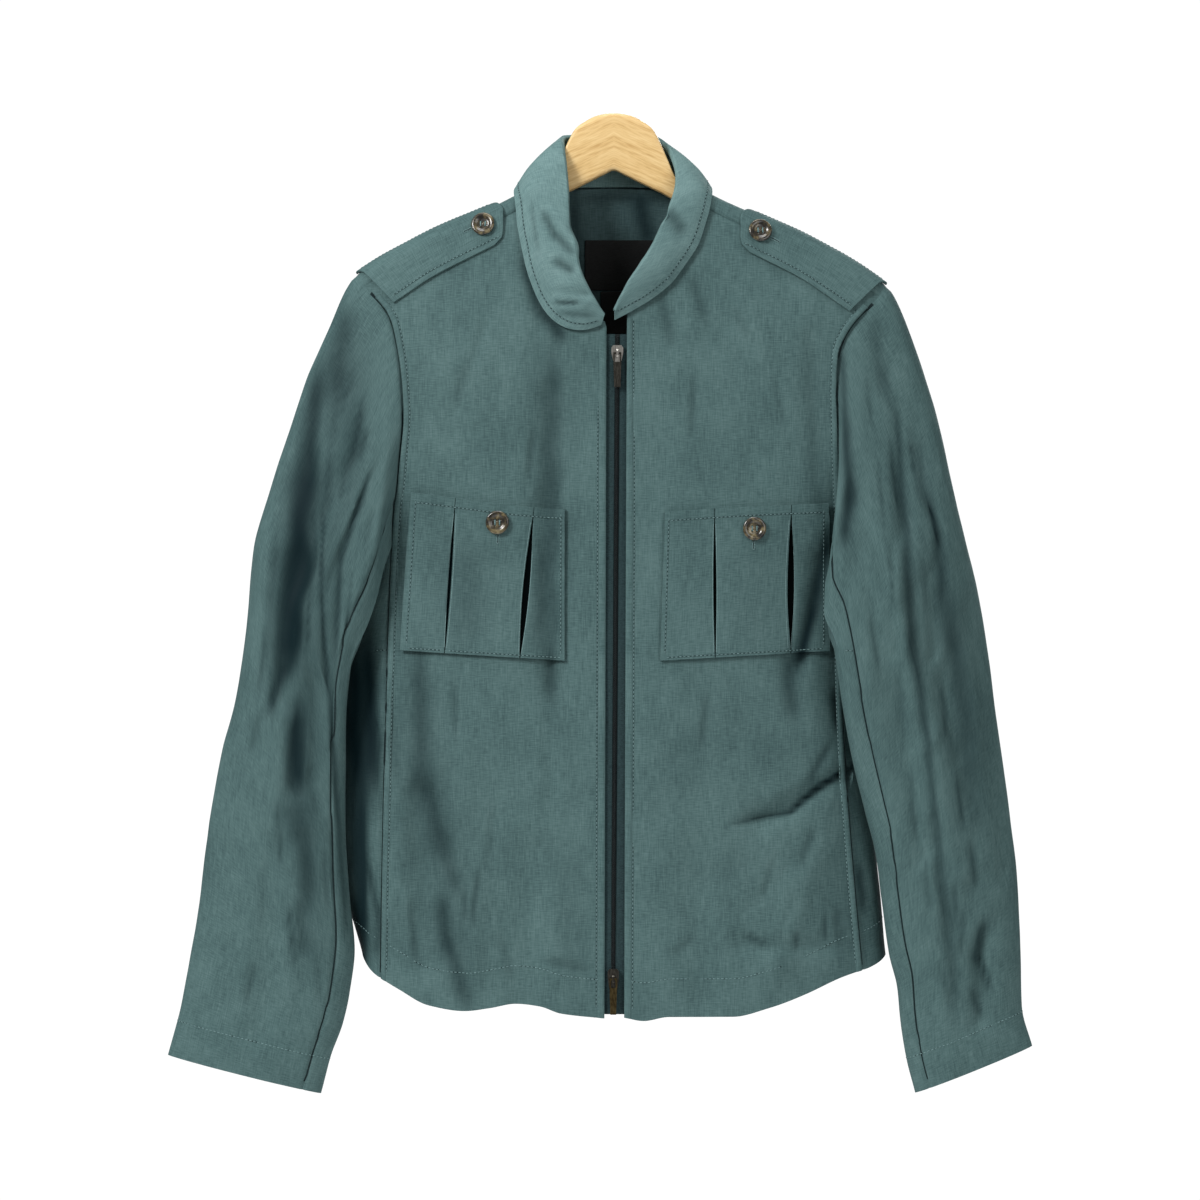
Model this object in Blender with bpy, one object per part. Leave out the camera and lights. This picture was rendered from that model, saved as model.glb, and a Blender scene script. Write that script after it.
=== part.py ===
# A zip-front blouson of linen cloth that hangs on a wooden hanger.
# Sizes are in millimetres and become metres when a mesh is made.
# X runs to the right as seen from the front, the front faces -Y, +Z is up.
# The origin is the top of the hanger. Left and right are as seen from the front.
import bisect
import math
from collections import namedtuple

import bpy
import bmesh
from mathutils import Vector

MM = 0.001

# Driving dimensions of the cloth
CLOTH = 1.2
SEAM_PULL = 0.18
PATCH_LIFT = 0.6
PATCH_LIFT_SIDE = 1.0

# Shoulder ridge: distance from the centre line, height
RIDGE = (
    (59.0, -52.0),
    (70.0, -59.0),
    (85.0, -66.8),
    (106.0, -75.8),
    (139.0, -90.0),
    (157.0, -99.5),
    (177.0, -110.5),
    (196.0, -122.8),
    (210.0, -133.0),
)
RIDGE_RADIUS = 10.0
NECK_HALF = 59.0
NECK_RISE_BACK = 27.0
SHOULDER_FALL = 55.0

# Depth of the body in front of and behind the hanger: height, depth
FRONT_DEPTH = (
    (-50.0, 20.0), (-150.0, 22.0), (-250.0, 25.0), (-375.0, 28.0), (-500.0, 33.0), (-640.0, 37.0),
)
BACK_DEPTH = (
    (-50.0, 18.0), (-150.0, 19.0), (-250.0, 20.0), (-375.0, 23.0), (-500.0, 27.0), (-640.0, 31.0),
)

# Where the panels end and meet
JUNCTION_Z = -325.0
ARMPIT_DIP = 13.0
SHOULDER_SEAM_ARC = 19.0
WRAP_ARCS = (-14.0, -7.0, 0.0, 7.0, SHOULDER_SEAM_ARC)
ARM_TOP_SLOPE = 0.38

# Number of cells of the panels
LOWER_ROWS = 14
UPPER_ROWS = 6
NECK_COLUMNS_FRONT = 5
SHOULDER_COLUMNS = 6
NECK_COLUMNS_BACK = 6
SIDE_COLUMNS = 6

Side = namedtuple(
    "Side",
    "sign half_width centre_edge seam hem arm_front arm_back arm_top neckline "
    "sleeve_outer sleeve_inner sleeve_outer_z sleeve_inner_z inner_y outer_y",
)
Fold = namedtuple("Fold", "x0 z0 x1 z1 width height")
Crease = namedtuple("Crease", "s0 turn0 s1 turn1 width height")
Station = namedtuple("Station", "roll_x roll_y roll_z edge_x edge_z edge_on neck_x neck_z neck_on")

LEFT = Side(
    sign=-1.0,
    half_width=(
        (-635.0, 191.0), (-600.0, 200.0), (-560.0, 205.5), (-500.0, 207.5), (-450.0, 206.0), (-419.0, 202.5),
        (-390.0, 193.0), (-370.0, 186.0), (-345.0, 178.0), (-325.0, 180.0), (-260.0, 225.0),
        (-200.0, 255.0), (-100.0, 265.0),
    ),
    centre_edge=((-680.0, 7.2), (-160.0, 5.7)),
    seam=((-650.0, 175.5), (-405.0, 170.3), (-325.0, 167.0)),
    hem=(
        (8.0, -680.0), (39.5, -676.5), (55.5, -671.3), (74.0, -669.4), (93.0, -672.6),
        (112.0, -675.0), (139.0, -671.0), (160.0, -660.5), (181.5, -647.0), (191.0, -635.0),
    ),
    arm_front=(
        (-325.0, 167.0), (-302.0, 165.8), (-282.0, 162.8), (-259.0, 160.7), (-232.0, 158.3),
        (-202.0, 160.0), (-165.0, 165.8), (-154.5, 168.8), (-131.0, 188.3),
    ),
    arm_back=(
        (-325.0, 162.0), (-290.0, 163.0), (-240.0, 163.0), (-190.0, 166.0), (-155.0, 173.0),
        (-127.0, 190.2),
    ),
    arm_top=195.5,
    neckline=((7.0, -158.5), (20.0, -153.5), (37.0, -141.0), (50.0, -118.0), (57.0, -92.0), (59.0, -65.3)),
    sleeve_outer=(
        (-119.0, 196.0), (-136.0, 207.0), (-163.0, 218.0), (-200.0, 233.6), (-238.0, 245.7),
        (-286.0, 260.0), (-330.0, 272.0), (-390.0, 277.0), (-442.0, 285.0), (-481.0, 295.0),
        (-552.0, 307.0), (-599.0, 312.8), (-633.0, 318.8), (-674.0, 326.4), (-710.0, 335.9),
    ),
    sleeve_inner=(
        (-331.0, 174.0), (-348.0, 178.7), (-370.0, 182.0), (-390.0, 187.0), (-419.0, 197.0),
        (-468.0, 201.0), (-530.0, 202.0), (-588.0, 199.0), (-631.0, 195.5), (-664.0, 199.0),
        (-686.0, 203.5), (-711.0, 212.7), (-739.0, 220.5),
    ),
    sleeve_outer_z=(-122.8, -710.0),
    sleeve_inner_z=(-331.0, -739.0),
    inner_y=(
        (-331.0, -18.0), (-350.0, -29.0), (-375.0, -37.0), (-400.0, -37.0), (-450.0, -28.0),
        (-500.0, -20.0), (-600.0, -14.0), (-739.0, -12.0),
    ),
    outer_y=((-122.0, 0.0), (-300.0, -4.0), (-710.0, -12.0)),
)

RIGHT = Side(
    sign=1.0,
    half_width=(
        (-635.0, 206.0), (-600.0, 203.5), (-561.0, 199.0), (-500.0, 189.0), (-450.0, 182.0),
        (-400.0, 178.0), (-345.0, 176.0), (-325.0, 180.0), (-260.0, 225.0), (-200.0, 255.0), (-100.0, 265.0),
    ),
    centre_edge=((-680.0, 7.5), (-176.0, 9.6), (-150.0, 9.8)),
    seam=((-650.0, 187.0), (-560.0, 179.0), (-450.0, 172.0), (-325.0, 169.0)),
    hem=(
        (8.0, -679.5), (22.0, -682.0), (41.0, -679.0), (89.0, -679.0), (116.0, -672.6),
        (142.5, -663.0), (169.5, -651.0), (196.0, -642.0), (205.5, -635.0),
    ),
    arm_front=(
        (-325.0, 169.0), (-309.5, 170.8), (-276.0, 169.5), (-240.0, 168.0), (-211.0, 167.3),
        (-185.0, 168.5), (-166.0, 176.0), (-139.0, 199.8),
    ),
    arm_back=(
        (-325.0, 164.0), (-290.0, 165.0), (-240.0, 166.0), (-190.0, 170.0), (-158.0, 180.0),
        (-134.0, 201.7),
    ),
    arm_top=207.0,
    neckline=((9.8, -149.0), (22.0, -139.5), (40.0, -121.0), (49.0, -107.0), (56.0, -86.0), (59.0, -65.3)),
    sleeve_outer=(
        (-129.0, 207.8), (-141.0, 215.0), (-172.0, 227.5), (-198.0, 236.0), (-229.0, 245.0),
        (-288.0, 257.0), (-323.0, 264.8), (-354.0, 272.6), (-420.0, 284.6), (-457.0, 289.0),
        (-534.0, 299.0), (-571.0, 303.5), (-643.0, 306.5), (-674.0, 307.5), (-703.0, 315.4),
    ),
    sleeve_inner=(
        (-325.0, 170.0), (-340.0, 163.5), (-364.0, 155.0), (-382.0, 154.5), (-402.0, 162.8),
        (-426.0, 168.0), (-464.0, 173.8), (-495.0, 180.0), (-530.0, 189.0), (-559.0, 196.5),
        (-590.0, 200.6), (-633.0, 206.8), (-658.0, 213.0), (-682.0, 215.0), (-709.0, 219.0), (-738.0, 226.3),
    ),
    sleeve_outer_z=(-131.0, -703.0),
    sleeve_inner_z=(-331.0, -738.0),
    inner_y=(
        (-331.0, -22.0), (-345.0, -37.0), (-370.0, -48.0), (-400.0, -46.0), (-450.0, -38.0),
        (-500.0, -30.0), (-560.0, -25.0), (-640.0, -22.0), (-738.0, -18.0),
    ),
    outer_y=((-131.0, 0.0), (-300.0, -4.0), (-703.0, -12.0)),
)

# Soft folds of the body, as ridges (+) and troughs (-) along a line on the panel
FRONT_FOLDS = (
    Fold(-48.0, -215.0, -46.0, -430.0, 16.0, -2.5),
    Fold(-146.0, -515.0, -143.0, -640.0, 12.0, -5.0),
    Fold(-171.0, -470.0, -166.0, -600.0, 12.0, 3.0),
    Fold(-116.0, -480.0, -112.0, -640.0, 15.0, 2.5),
    Fold(-62.0, -560.0, -66.0, -665.0, 16.0, -3.0),
    Fold(146.0, -345.0, 149.0, -405.0, 14.0, -3.0),
    Fold(180.0, -494.0, 110.0, -531.0, 11.0, -4.5),
    Fold(150.0, -560.0, 120.0, -640.0, 13.0, 3.0),
    Fold(60.0, -560.0, 66.0, -660.0, 16.0, -3.0),
    Fold(97.0, -622.0, 161.0, -627.0, 9.0, -2.0),
)
BACK_FOLDS = (
    Fold(-92.0, -380.0, -97.0, -640.0, 17.0, -4.0),
    Fold(-40.0, -420.0, -32.0, -650.0, 18.0, 3.0),
    Fold(50.0, -400.0, 57.0, -645.0, 16.0, -4.0),
    Fold(118.0, -430.0, 126.0, -635.0, 15.0, 3.0),
    Fold(0.0, -190.0, 4.0, -330.0, 22.0, -2.5),
)

# Creases of the sleeves: way down the sleeve, turn from the outer line to the front
CREASES_LEFT = (
    Crease(66.0, 64.0, 276.0, 70.0, 11.0, -6.0),
    Crease(216.0, 118.0, 318.0, 122.0, 10.0, -4.5),
    Crease(50.0, 104.0, 190.0, 128.0, 9.0, -3.5),
    Crease(150.0, 32.0, 420.0, 28.0, 14.0, 3.0),
    Crease(400.0, 82.0, 560.0, 92.0, 12.0, -3.5),
    Crease(430.0, 45.0, 540.0, 60.0, 11.0, -2.5),
    Crease(120.0, 250.0, 330.0, 246.0, 12.0, -5.0),
    Crease(210.0, 302.0, 480.0, 296.0, 13.0, -3.5),
)
CREASES_RIGHT = (
    Crease(100.0, 116.0, 380.0, 112.0, 10.0, -4.5),
    Crease(104.0, 52.0, 128.0, 62.0, 10.0, -4.5),
    Crease(180.0, 78.0, 330.0, 62.0, 12.0, -3.5),
    Crease(300.0, 92.0, 430.0, 82.0, 13.0, 2.5),
    Crease(240.0, 26.0, 450.0, 32.0, 13.0, -3.0),
    Crease(495.0, 62.0, 560.0, 70.0, 10.0, -4.0),
    Crease(120.0, 252.0, 320.0, 248.0, 12.0, -5.0),
    Crease(230.0, 300.0, 470.0, 304.0, 13.0, -3.5),
)
CREASE_MM_PER_DEGREE = 0.8

# Turn of each point of an armhole, in degrees from the shoulder point to the front
ARMHOLE_TURNS = (
    0, 9, 20, 42, 66, 92, 117, 140, 162, 180, 195,
    210, 226, 243, 260, 275, 289, 303, 317, 330, 342, 351,
)
SLEEVE_RINGS = 22
SLEEVE_HEAD = 0.34
UNDER_HEAD = 0.12
SLEEVE_LEVEL = 0.7
SLEEVE_CLEAR = 4.0
SLEEVE_FREE_Z = -660.0
UNDER_TURN = 230.0
UNDER_SPREAD = 45.0
UNDER_FIRST = 8
UNDER_LAST = 14
FRONT_SEAM_POINT = 7
BACK_SEAM_POINT = 18
# Half depth of a sleeve: part of the way down, half depth
SLEEVE_DEPTH = ((0.0, 30.0), (0.25, 33.0), (0.5, 31.0), (0.75, 25.0), (1.0, 16.0))

# The collar's sections from the centre front to the centre back.
# The edge and the neck seam lie on the front (-1), the ridge (0) or the back (1).
COLLAR_LEFT = (
    Station(-7.0, -34.0, -153.0, -9.5, -161.5, -1, -8.0, -156.5, -1),
    Station(-10.5, -35.0, -148.0, -17.5, -164.3, -1, -13.0, -155.5, -1),
    Station(-14.5, -36.0, -141.0, -27.0, -165.4, -1, -20.0, -152.5, -1),
    Station(-19.5, -36.5, -132.0, -38.0, -162.8, -1, -28.0, -147.5, -1),
    Station(-24.0, -37.0, -122.0, -48.0, -155.0, -1, -36.5, -140.0, -1),
    Station(-26.8, -36.0, -111.0, -57.0, -142.0, -1, -43.5, -129.5, -1),
    Station(-28.5, -34.0, -100.0, -64.5, -123.0, -1, -49.0, -117.0, -1),
    Station(-31.5, -31.0, -88.0, -69.2, -103.0, -1, -53.5, -103.0, -1),
    Station(-32.5, -27.0, -73.0, -72.3, -87.0, -1, -56.5, -89.0, -1),
    Station(-33.8, -22.0, -57.0, -73.2, -76.0, -1, -57.8, -77.0, -1),
    Station(-35.5, -15.0, -39.0, -73.8, -68.5, -1, -58.3, -66.0, -1),
    Station(-37.5, -6.0, -24.5, -73.8, -61.5, -1, -58.0, -56.0, -1),
    Station(-38.0, 3.0, -19.0, -72.8, -59.0, 0, -57.6, -50.0, 0),
    Station(-35.5, 11.0, -16.0, -69.0, -62.0, 1, -57.0, -54.5, 1),
    Station(-27.0, 16.0, -14.5, -56.0, -66.5, 1, -48.5, -55.4, 1),
    Station(-14.0, 18.5, -13.5, -30.0, -68.0, 1, -27.0, -54.6, 1),
    Station(0.0, 19.0, -13.0, 0.0, -68.5, 1, 0.0, -54.2, 1),
)
COLLAR_RIGHT = (
    Station(0.0, -34.5, -149.5, 0.5, -157.8, -1, 3.5, -152.0, -1),
    Station(3.0, -35.0, -142.5, 8.5, -153.8, -1, 9.5, -148.5, -1),
    Station(6.5, -36.0, -136.0, 17.0, -149.0, -1, 15.5, -143.5, -1),
    Station(10.5, -37.0, -128.5, 26.3, -143.5, -1, 23.0, -137.3, -1),
    Station(17.0, -37.0, -119.0, 36.0, -136.5, -1, 32.0, -129.0, -1),
    Station(23.0, -36.0, -110.0, 45.0, -128.0, -1, 39.5, -120.3, -1),
    Station(29.0, -34.0, -99.5, 54.8, -114.5, -1, 45.5, -111.3, -1),
    Station(34.5, -31.0, -87.0, 63.0, -101.0, -1, 51.0, -99.5, -1),
    Station(40.0, -27.0, -74.0, 68.3, -85.5, -1, 55.0, -86.5, -1),
    Station(45.0, -21.0, -60.0, 71.5, -74.0, -1, 57.5, -74.0, -1),
    Station(46.3, -14.0, -47.0, 72.5, -67.0, -1, 58.3, -63.0, -1),
    Station(44.0, -5.0, -35.0, 72.5, -61.0, -1, 58.0, -55.0, -1),
    Station(39.5, 4.0, -25.0, 71.5, -58.2, 0, 57.6, -50.0, 0),
    Station(32.0, 12.0, -17.5, 67.0, -61.0, 1, 56.4, -54.5, 1),
    Station(22.0, 16.0, -14.5, 54.0, -66.5, 1, 46.5, -55.4, 1),
    Station(10.0, 18.5, -13.3, 28.0, -68.0, 1, 26.0, -54.6, 1),
)
COLLAR_LIFT = 3.2
COLLAR_ROLL = 2.6
COLLAR_ROLL_FRONT = 1.8
COLLAR_BULGE = 3.2
# Parts of the way down the fall and the stand where the collar has a row of points
COLLAR_LOW_FALL = 0.34
COLLAR_HIGH_FALL = 0.7
COLLAR_HIGH_SHARE = 0.9
COLLAR_STAND_TOP = 0.12
COLLAR_STAND_MIDDLE = 0.55

# Hanger: distance from the centre, top, bottom, half thickness
HANGER = (
    (0.0, 0.0, -43.0, 6.0),
    (7.0, -0.4, -46.0, 6.0),
    (15.0, -2.5, -50.0, 6.0),
    (22.0, -6.3, -53.5, 6.0),
    (29.0, -11.5, -57.0, 6.0),
    (34.5, -21.0, -59.5, 6.0),
    (40.0, -33.5, -62.5, 6.0),
    (46.0, -47.0, -66.0, 6.0),
    (54.0, -58.0, -71.0, 6.0),
    (62.0, -64.5, -76.5, 5.8),
    (72.0, -69.5, -84.0, 5.6),
    (89.0, -78.0, -94.0, 5.3),
    (120.0, -90.5, -111.0, 5.0),
    (150.0, -104.5, -126.0, 4.6),
    (172.0, -117.0, -138.0, 4.3),
    (185.0, -125.0, -144.0, 4.0),
)

# Pockets: corners, slits of the box pleat (top x, z, bottom x, z), top and bottom widths
Pocket = namedtuple("Pocket", "top bottom slits")
POCKET_LEFT = Pocket(
    top=((-151.5, -286.5), (-60.8, -298.0), (-36.5, -299.5)),
    bottom=((-159.5, -405.5), (-36.5, -413.0)),
    slits=((-118.5, -126.5, 1.2, 4.0), (-60.5, -70.5, 1.2, 5.5)),
)
POCKET_RIGHT = Pocket(
    top=((38.0, -301.5), (100.0, -297.5), (160.8, -294.7)),
    bottom=((34.5, -413.0), (161.0, -406.0)),
    slits=((75.2, 75.6, 1.2, 3.6), (132.5, 131.5, 1.6, 6.5)),
)
POCKET_ROWS = 7
POCKET_WALL = 1.3
POCKET_PLEAT = 1.1
PLEAT_CROWN = 0.3
SLIT_LIP = 0.8

# Buttons: centre x, z and diameter
BUTTON_DIAMETER = 17.5
BUTTONS = (
    ("button_epaulette_left", -98.0, -83.5),
    ("button_epaulette_right", 109.5, -91.0),
    ("button_pocket_left", -87.0, -309.5),
    ("button_pocket_right", 104.6, -314.0),
)

# Epaulettes: part of the length, lower width from the ridge, measured on the cloth
EPAULETTE_WIDTH = ((0.0, 46.0), (0.5, 41.0), (1.0, 38.0))
EPAULETTE_BEHIND = 3.5
EPAULETTE_CELLS = 9
EPAULETTE_END_LEFT = 83.0
EPAULETTE_END_RIGHT = 95.0
EPAULETTE_INSET = 1.6
EPAULETTE_SLANT = 0.62
# Part of the width from the back edge, how much shorter the strap is there
EPAULETTE_CHAMFER = (
    (0.0, 17.0), (0.1, 9.0), (0.22, 4.0), (0.4, 0.0), (0.6, 0.0), (0.8, 0.0), (0.92, 1.0), (1.0, 7.0),
)
EPAULETTE_WALL = 1.6
EPAULETTE_LIFT = 0.6

# Zip
ZIP_TOP = -168.0
ZIP_BOTTOM = -677.0
ZIP_LINE = ((-680.0, -0.8), (-165.0, 2.6))
ZIP_ROWS = 20
TAPE_WALL = 1.0
TAPE_TUCK = 7.0
COIL_HALF = 1.6
COIL_GAP = 0.3
COIL_HEIGHT = 1.9

# Sleeve length, back hem and back neck
SLEEVE_LENGTH = 600.0
BACK_HEM = ((0.0, -667.0), (60.0, -666.0), (120.0, -661.0), (165.0, -648.0), (205.0, -635.0))
BACK_SEAM_INSET = 5.0
BACK_NECK_Z = -55.5

# Buttons, labels, zip and sliders in section
BUTTON_GAP = 0.4
BUTTON_CROWN = 0.5
BUTTON_EPAULETTE_ARC = 19.0
# Part of the radius, height above the cloth
BUTTON_PROFILE = (
    (0.0, 1.7), (0.5, 1.75), (0.66, 2.8), (0.88, 3.0), (1.0, 2.1), (0.95, 0.8), (0.75, 0.0), (0.0, 0.0),
)
BUTTON_SIDES = 14
# Labels: left and right x, top and bottom z
LABELS = (
    ("neck_label", (-22.0, 31.0, -94.0, -132.0)),
    ("size_label", (-10.0, 22.0, -133.0, -165.0)),
)
LABEL_WALL = 1.0
LABEL_GAP = 0.7
LABEL_ROWS = 3
LABEL_COLUMNS = 4
TAPE_DEPTH = CLOTH + 0.9
COIL_DEPTH = CLOTH - 0.1
PULL_BAR = 0.7
SLIDER_BODY = 2.2
SLIDER_GAP = 0.3
BRIDGE_HALF = 0.8
TUNNEL = 2.3
BRIDGE_WALL = 0.9
BRIDGE_FOOT = 1.4
TUNNEL_HALF = 1.4
BRIDGE_SINK = 0.6
SLIDER_SLACK = 0.2
PULL_SIDE = 1.1
PULL_RING_DROP = 6.5
PULL_TAPER = 0.6

# Sliders with their pulls: the widths are half widths
Slider = namedtuple("Slider", "word top_z length wide narrow pivot_z pull_half pull_end_z colour")
SLIDERS = (
    Slider("top", -176.5, 13.0, 4.4, 3.0, -182.5, 3.0, -208.0, "silver"),
    Slider("bottom", -643.0, 15.0, 4.2, 3.2, -650.5, 2.8, -677.0, "gunmetal"),
)


def curve(table, at, column=1):
    """Smooth value of a column at a place along the first column."""
    rows = sorted(table)
    keys = [row[0] for row in rows]
    values = [row[column] for row in rows]
    if at <= keys[0]:
        return values[0]
    if at >= keys[-1]:
        return values[-1]
    k = bisect.bisect_right(keys, at) - 1
    step = keys[k + 1] - keys[k]
    u = (at - keys[k]) / step
    m0 = slope(keys, values, k) * step
    m1 = slope(keys, values, k + 1) * step
    a = values[k]
    b = values[k + 1]
    return (
        a * (1 + 2 * u) * (1 - u) ** 2
        + m0 * u * (1 - u) ** 2
        + b * u * u * (3 - 2 * u)
        + m1 * u * u * (u - 1)
    )


def slope(keys, values, k):
    """Slope at a row that lets the curve rise and fall only where the rows do."""
    last = len(keys) - 1
    before = (values[k] - values[k - 1]) / (keys[k] - keys[k - 1]) if k > 0 else None
    after = (values[k + 1] - values[k]) / (keys[k + 1] - keys[k]) if k < last else None
    if before is None:
        return after
    if after is None:
        return before
    if before * after <= 0:
        return 0.0
    return 2 * before * after / (before + after)


def mix(a, b, t):
    return a + (b - a) * t


def smoothstep(t):
    t = min(max(t, 0.0), 1.0)
    return t * t * (3 - 2 * t)


def side_of(x):
    return LEFT if x < 0 else RIGHT


def line_distance(x, z, x0, z0, x1, z1):
    """Distance from a point to a straight stretch."""
    dx = x1 - x0
    dz = z1 - z0
    t = ((x - x0) * dx + (z - z0) * dz) / (dx * dx + dz * dz)
    t = min(max(t, 0.0), 1.0)
    return math.hypot(x - x0 - dx * t, z - z0 - dz * t)


def fold_height(folds, x, z):
    total = 0.0
    for fold in folds:
        away = line_distance(x, z, fold.x0, fold.z0, fold.x1, fold.z1)
        total += fold.height * math.exp(-((away / fold.width) ** 2))
    return total


def ridge_z(x, behind=False):
    """Height of the shoulder ridge, carried across the neck."""
    rise = 0.0
    if behind and abs(x) < NECK_HALF:
        rise = NECK_RISE_BACK * (1 - (x / NECK_HALF) ** 2)
    return curve(RIDGE, abs(x)) + rise


def ridge_round(t):
    """Half thickness of the cloth over the hanger, t below the ridge."""
    if t >= RIDGE_RADIUS:
        return RIDGE_RADIUS
    t = max(t, 0.0)
    return math.sqrt(RIDGE_RADIUS ** 2 - (RIDGE_RADIUS - t) ** 2)


def swell(x, z, behind):
    """Depth of the body on its centre line at the height of a point."""
    t = max(ridge_z(x, behind) - z, 0.0)
    depth = curve(BACK_DEPTH if behind else FRONT_DEPTH, z)
    return ridge_round(t) + depth * (1 - math.exp(-t / SHOULDER_FALL))


def fullness(x, z):
    """How much of the depth is left at a distance from the centre line."""
    part = min(abs(x) / curve(side_of(x).half_width, z), 1.0)
    return math.sqrt(1 - part ** 3)


def front_y(x, z):
    return -(swell(x, z, False) + fold_height(FRONT_FOLDS, x, z)) * fullness(x, z)


def back_y(x, z):
    return (swell(x, z, True) + fold_height(BACK_FOLDS, x, z)) * fullness(x, z)


def front_point(x, z):
    return Vector((x, front_y(x, z), z))


def back_point(x, z):
    return Vector((x, back_y(x, z), z))


def front_normal(x, z, step=1.0):
    along_x = (front_y(x + step, z) - front_y(x - step, z)) / (2 * step)
    along_z = (front_y(x, z + step) - front_y(x, z - step)) / (2 * step)
    return Vector((along_x, -1.0, along_z)).normalized()


def back_normal(x, z, step=1.0):
    along_x = (back_y(x + step, z) - back_y(x - step, z)) / (2 * step)
    along_z = (back_y(x, z + step) - back_y(x, z - step)) / (2 * step)
    return Vector((-along_x, 1.0, -along_z)).normalized()


def on_front(x, z, lift):
    return front_point(x, z) + front_normal(x, z) * lift


def over_shoulder(x, arc):
    """Point at a length of arc from the ridge, to the front (+) or the back (-)."""
    quarter = RIDGE_RADIUS * math.pi / 2
    length = abs(arc)
    if length < quarter:
        below = RIDGE_RADIUS * (1 - math.cos(length / RIDGE_RADIUS))
    else:
        below = RIDGE_RADIUS + length - quarter
    z = ridge_z(x, arc < 0) - below
    if arc < 0:
        return back_point(x, z)
    return front_point(x, z)


def shoulder_normal(x, arc, step=1.0):
    along_x = over_shoulder(x + step, arc) - over_shoulder(x - step, arc)
    along_arc = over_shoulder(x, arc + step) - over_shoulder(x, arc - step)
    normal = along_x.cross(along_arc).normalized()
    return normal if normal.z - normal.y > 0 or arc < 0 and normal.z > 0 else -normal


class Sheet:
    """One piece of cloth as outer faces, each a ring of corner points."""

    def __init__(self, name, colour, wall=CLOTH):
        self.name = name
        self.colour = colour
        self.wall = wall
        self.faces = []
        self.shifts = {}
        self.alone = set()

    def add_grid(self, rows, facing):
        """Faces between rows of points, turned to face outwards at the first row."""
        cells = []
        for low, high in zip(rows, rows[1:]):
            for k in range(len(low) - 1):
                cells.append((low[k], low[k + 1], high[k + 1], high[k]))
        score = 0.0
        for cell in cells[: len(rows[0]) - 1]:
            centre = sum(cell, Vector()) / len(cell)
            score += face_vector(cell).dot(facing(centre))
        if score < 0:
            cells = [tuple(reversed(cell)) for cell in cells]
        self.faces += cells


def spot(point):
    return (round(point.x, 2), round(point.y, 2), round(point.z, 2))


def face_vector(corners):
    """Vector square to a face, as long as twice its area."""
    a, b, c, d = corners
    return (c - a).cross(d - b)


def gather_normals(sheets):
    """One direction for every point, shared by the pieces that meet there.

    Where a seam lies in a valley, a piece keeps its own direction there.
    """
    normals = {}
    for sheet in sheets:
        for face in sheet.faces:
            vector = face_vector(face)
            for corner in face:
                place = spot(corner)
                owner = sheet.name if place in sheet.alone else ""
                normals[owner, place] = normals.get((owner, place), Vector()) + vector
    return {place: vector.normalized() for place, vector in normals.items()}


def rim_edges(faces):
    """Directed edges that only one face has."""
    used = {}
    for face in faces:
        for a, b in zip(face, face[1:] + face[:1]):
            used[(a, b)] = True
    return [edge for edge in used if (edge[1], edge[0]) not in used]


def material(name, colour, roughness, metallic=0.0):
    found = bpy.data.materials.get(name)
    if found:
        return found
    made = bpy.data.materials.new(name)
    made.use_nodes = True
    shader = made.node_tree.nodes["Principled BSDF"]
    shader.inputs["Base Color"].default_value = (*colour, 1.0)
    shader.inputs["Roughness"].default_value = roughness
    shader.inputs["Metallic"].default_value = metallic
    made.diffuse_color = (*colour, 1.0)
    return made


COLOURS = {
    "linen": ((0.085, 0.145, 0.15), 0.75, 0.0),
    "linen_dark": ((0.06, 0.11, 0.12), 0.8, 0.0),
    "beech": ((0.73, 0.52, 0.22), 0.5, 0.0),
    "tape": ((0.018, 0.04, 0.041), 0.85, 0.0),
    "coil": ((0.006, 0.01, 0.01), 0.5, 0.0),
    "gunmetal": ((0.09, 0.08, 0.07), 0.35, 1.0),
    "silver": ((0.55, 0.54, 0.52), 0.3, 1.0),
    "horn": ((0.07, 0.05, 0.03), 0.3, 0.0),
    "label": ((0.004, 0.004, 0.004), 0.8, 0.0),
}


def finish_object(name, mesh, colour, sharp_degrees=40.0):
    mesh.shade_smooth()
    mesh.set_sharp_from_angle(angle=math.radians(sharp_degrees))
    made = bpy.data.objects.new(name, mesh)
    made.data.materials.append(material(colour, *COLOURS[colour]))
    bpy.context.scene.collection.objects.link(made)
    return made


def solid_from(name, points, faces, colour, sharp_degrees=40.0):
    """Closed solid from points in millimetres, its faces turned out."""
    shape = bmesh.new()
    corners = [shape.verts.new(Vector(point) * MM) for point in points]
    for face in faces:
        shape.faces.new([corners[k] for k in face])
    bmesh.ops.recalc_face_normals(shape, faces=shape.faces)
    mesh = bpy.data.meshes.new(name)
    shape.to_mesh(mesh)
    shape.free()
    return finish_object(name, mesh, colour, sharp_degrees)


def split_face(face, points):
    """Two triangles, cut along the shorter diagonal."""
    a, b, c, d = face
    if (points[a] - points[c]).length <= (points[b] - points[d]).length:
        return [(a, b, c), (a, c, d)]
    return [(a, b, d), (b, c, d)]


def split_rim(a, b, count, places):
    """Two triangles of a rim, cut the same way by both pieces at a seam."""
    if places[a] < places[b]:
        return [(b, a, b + count), (a, a + count, b + count)]
    return [(b, a, a + count), (b, a + count, b + count)]


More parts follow.
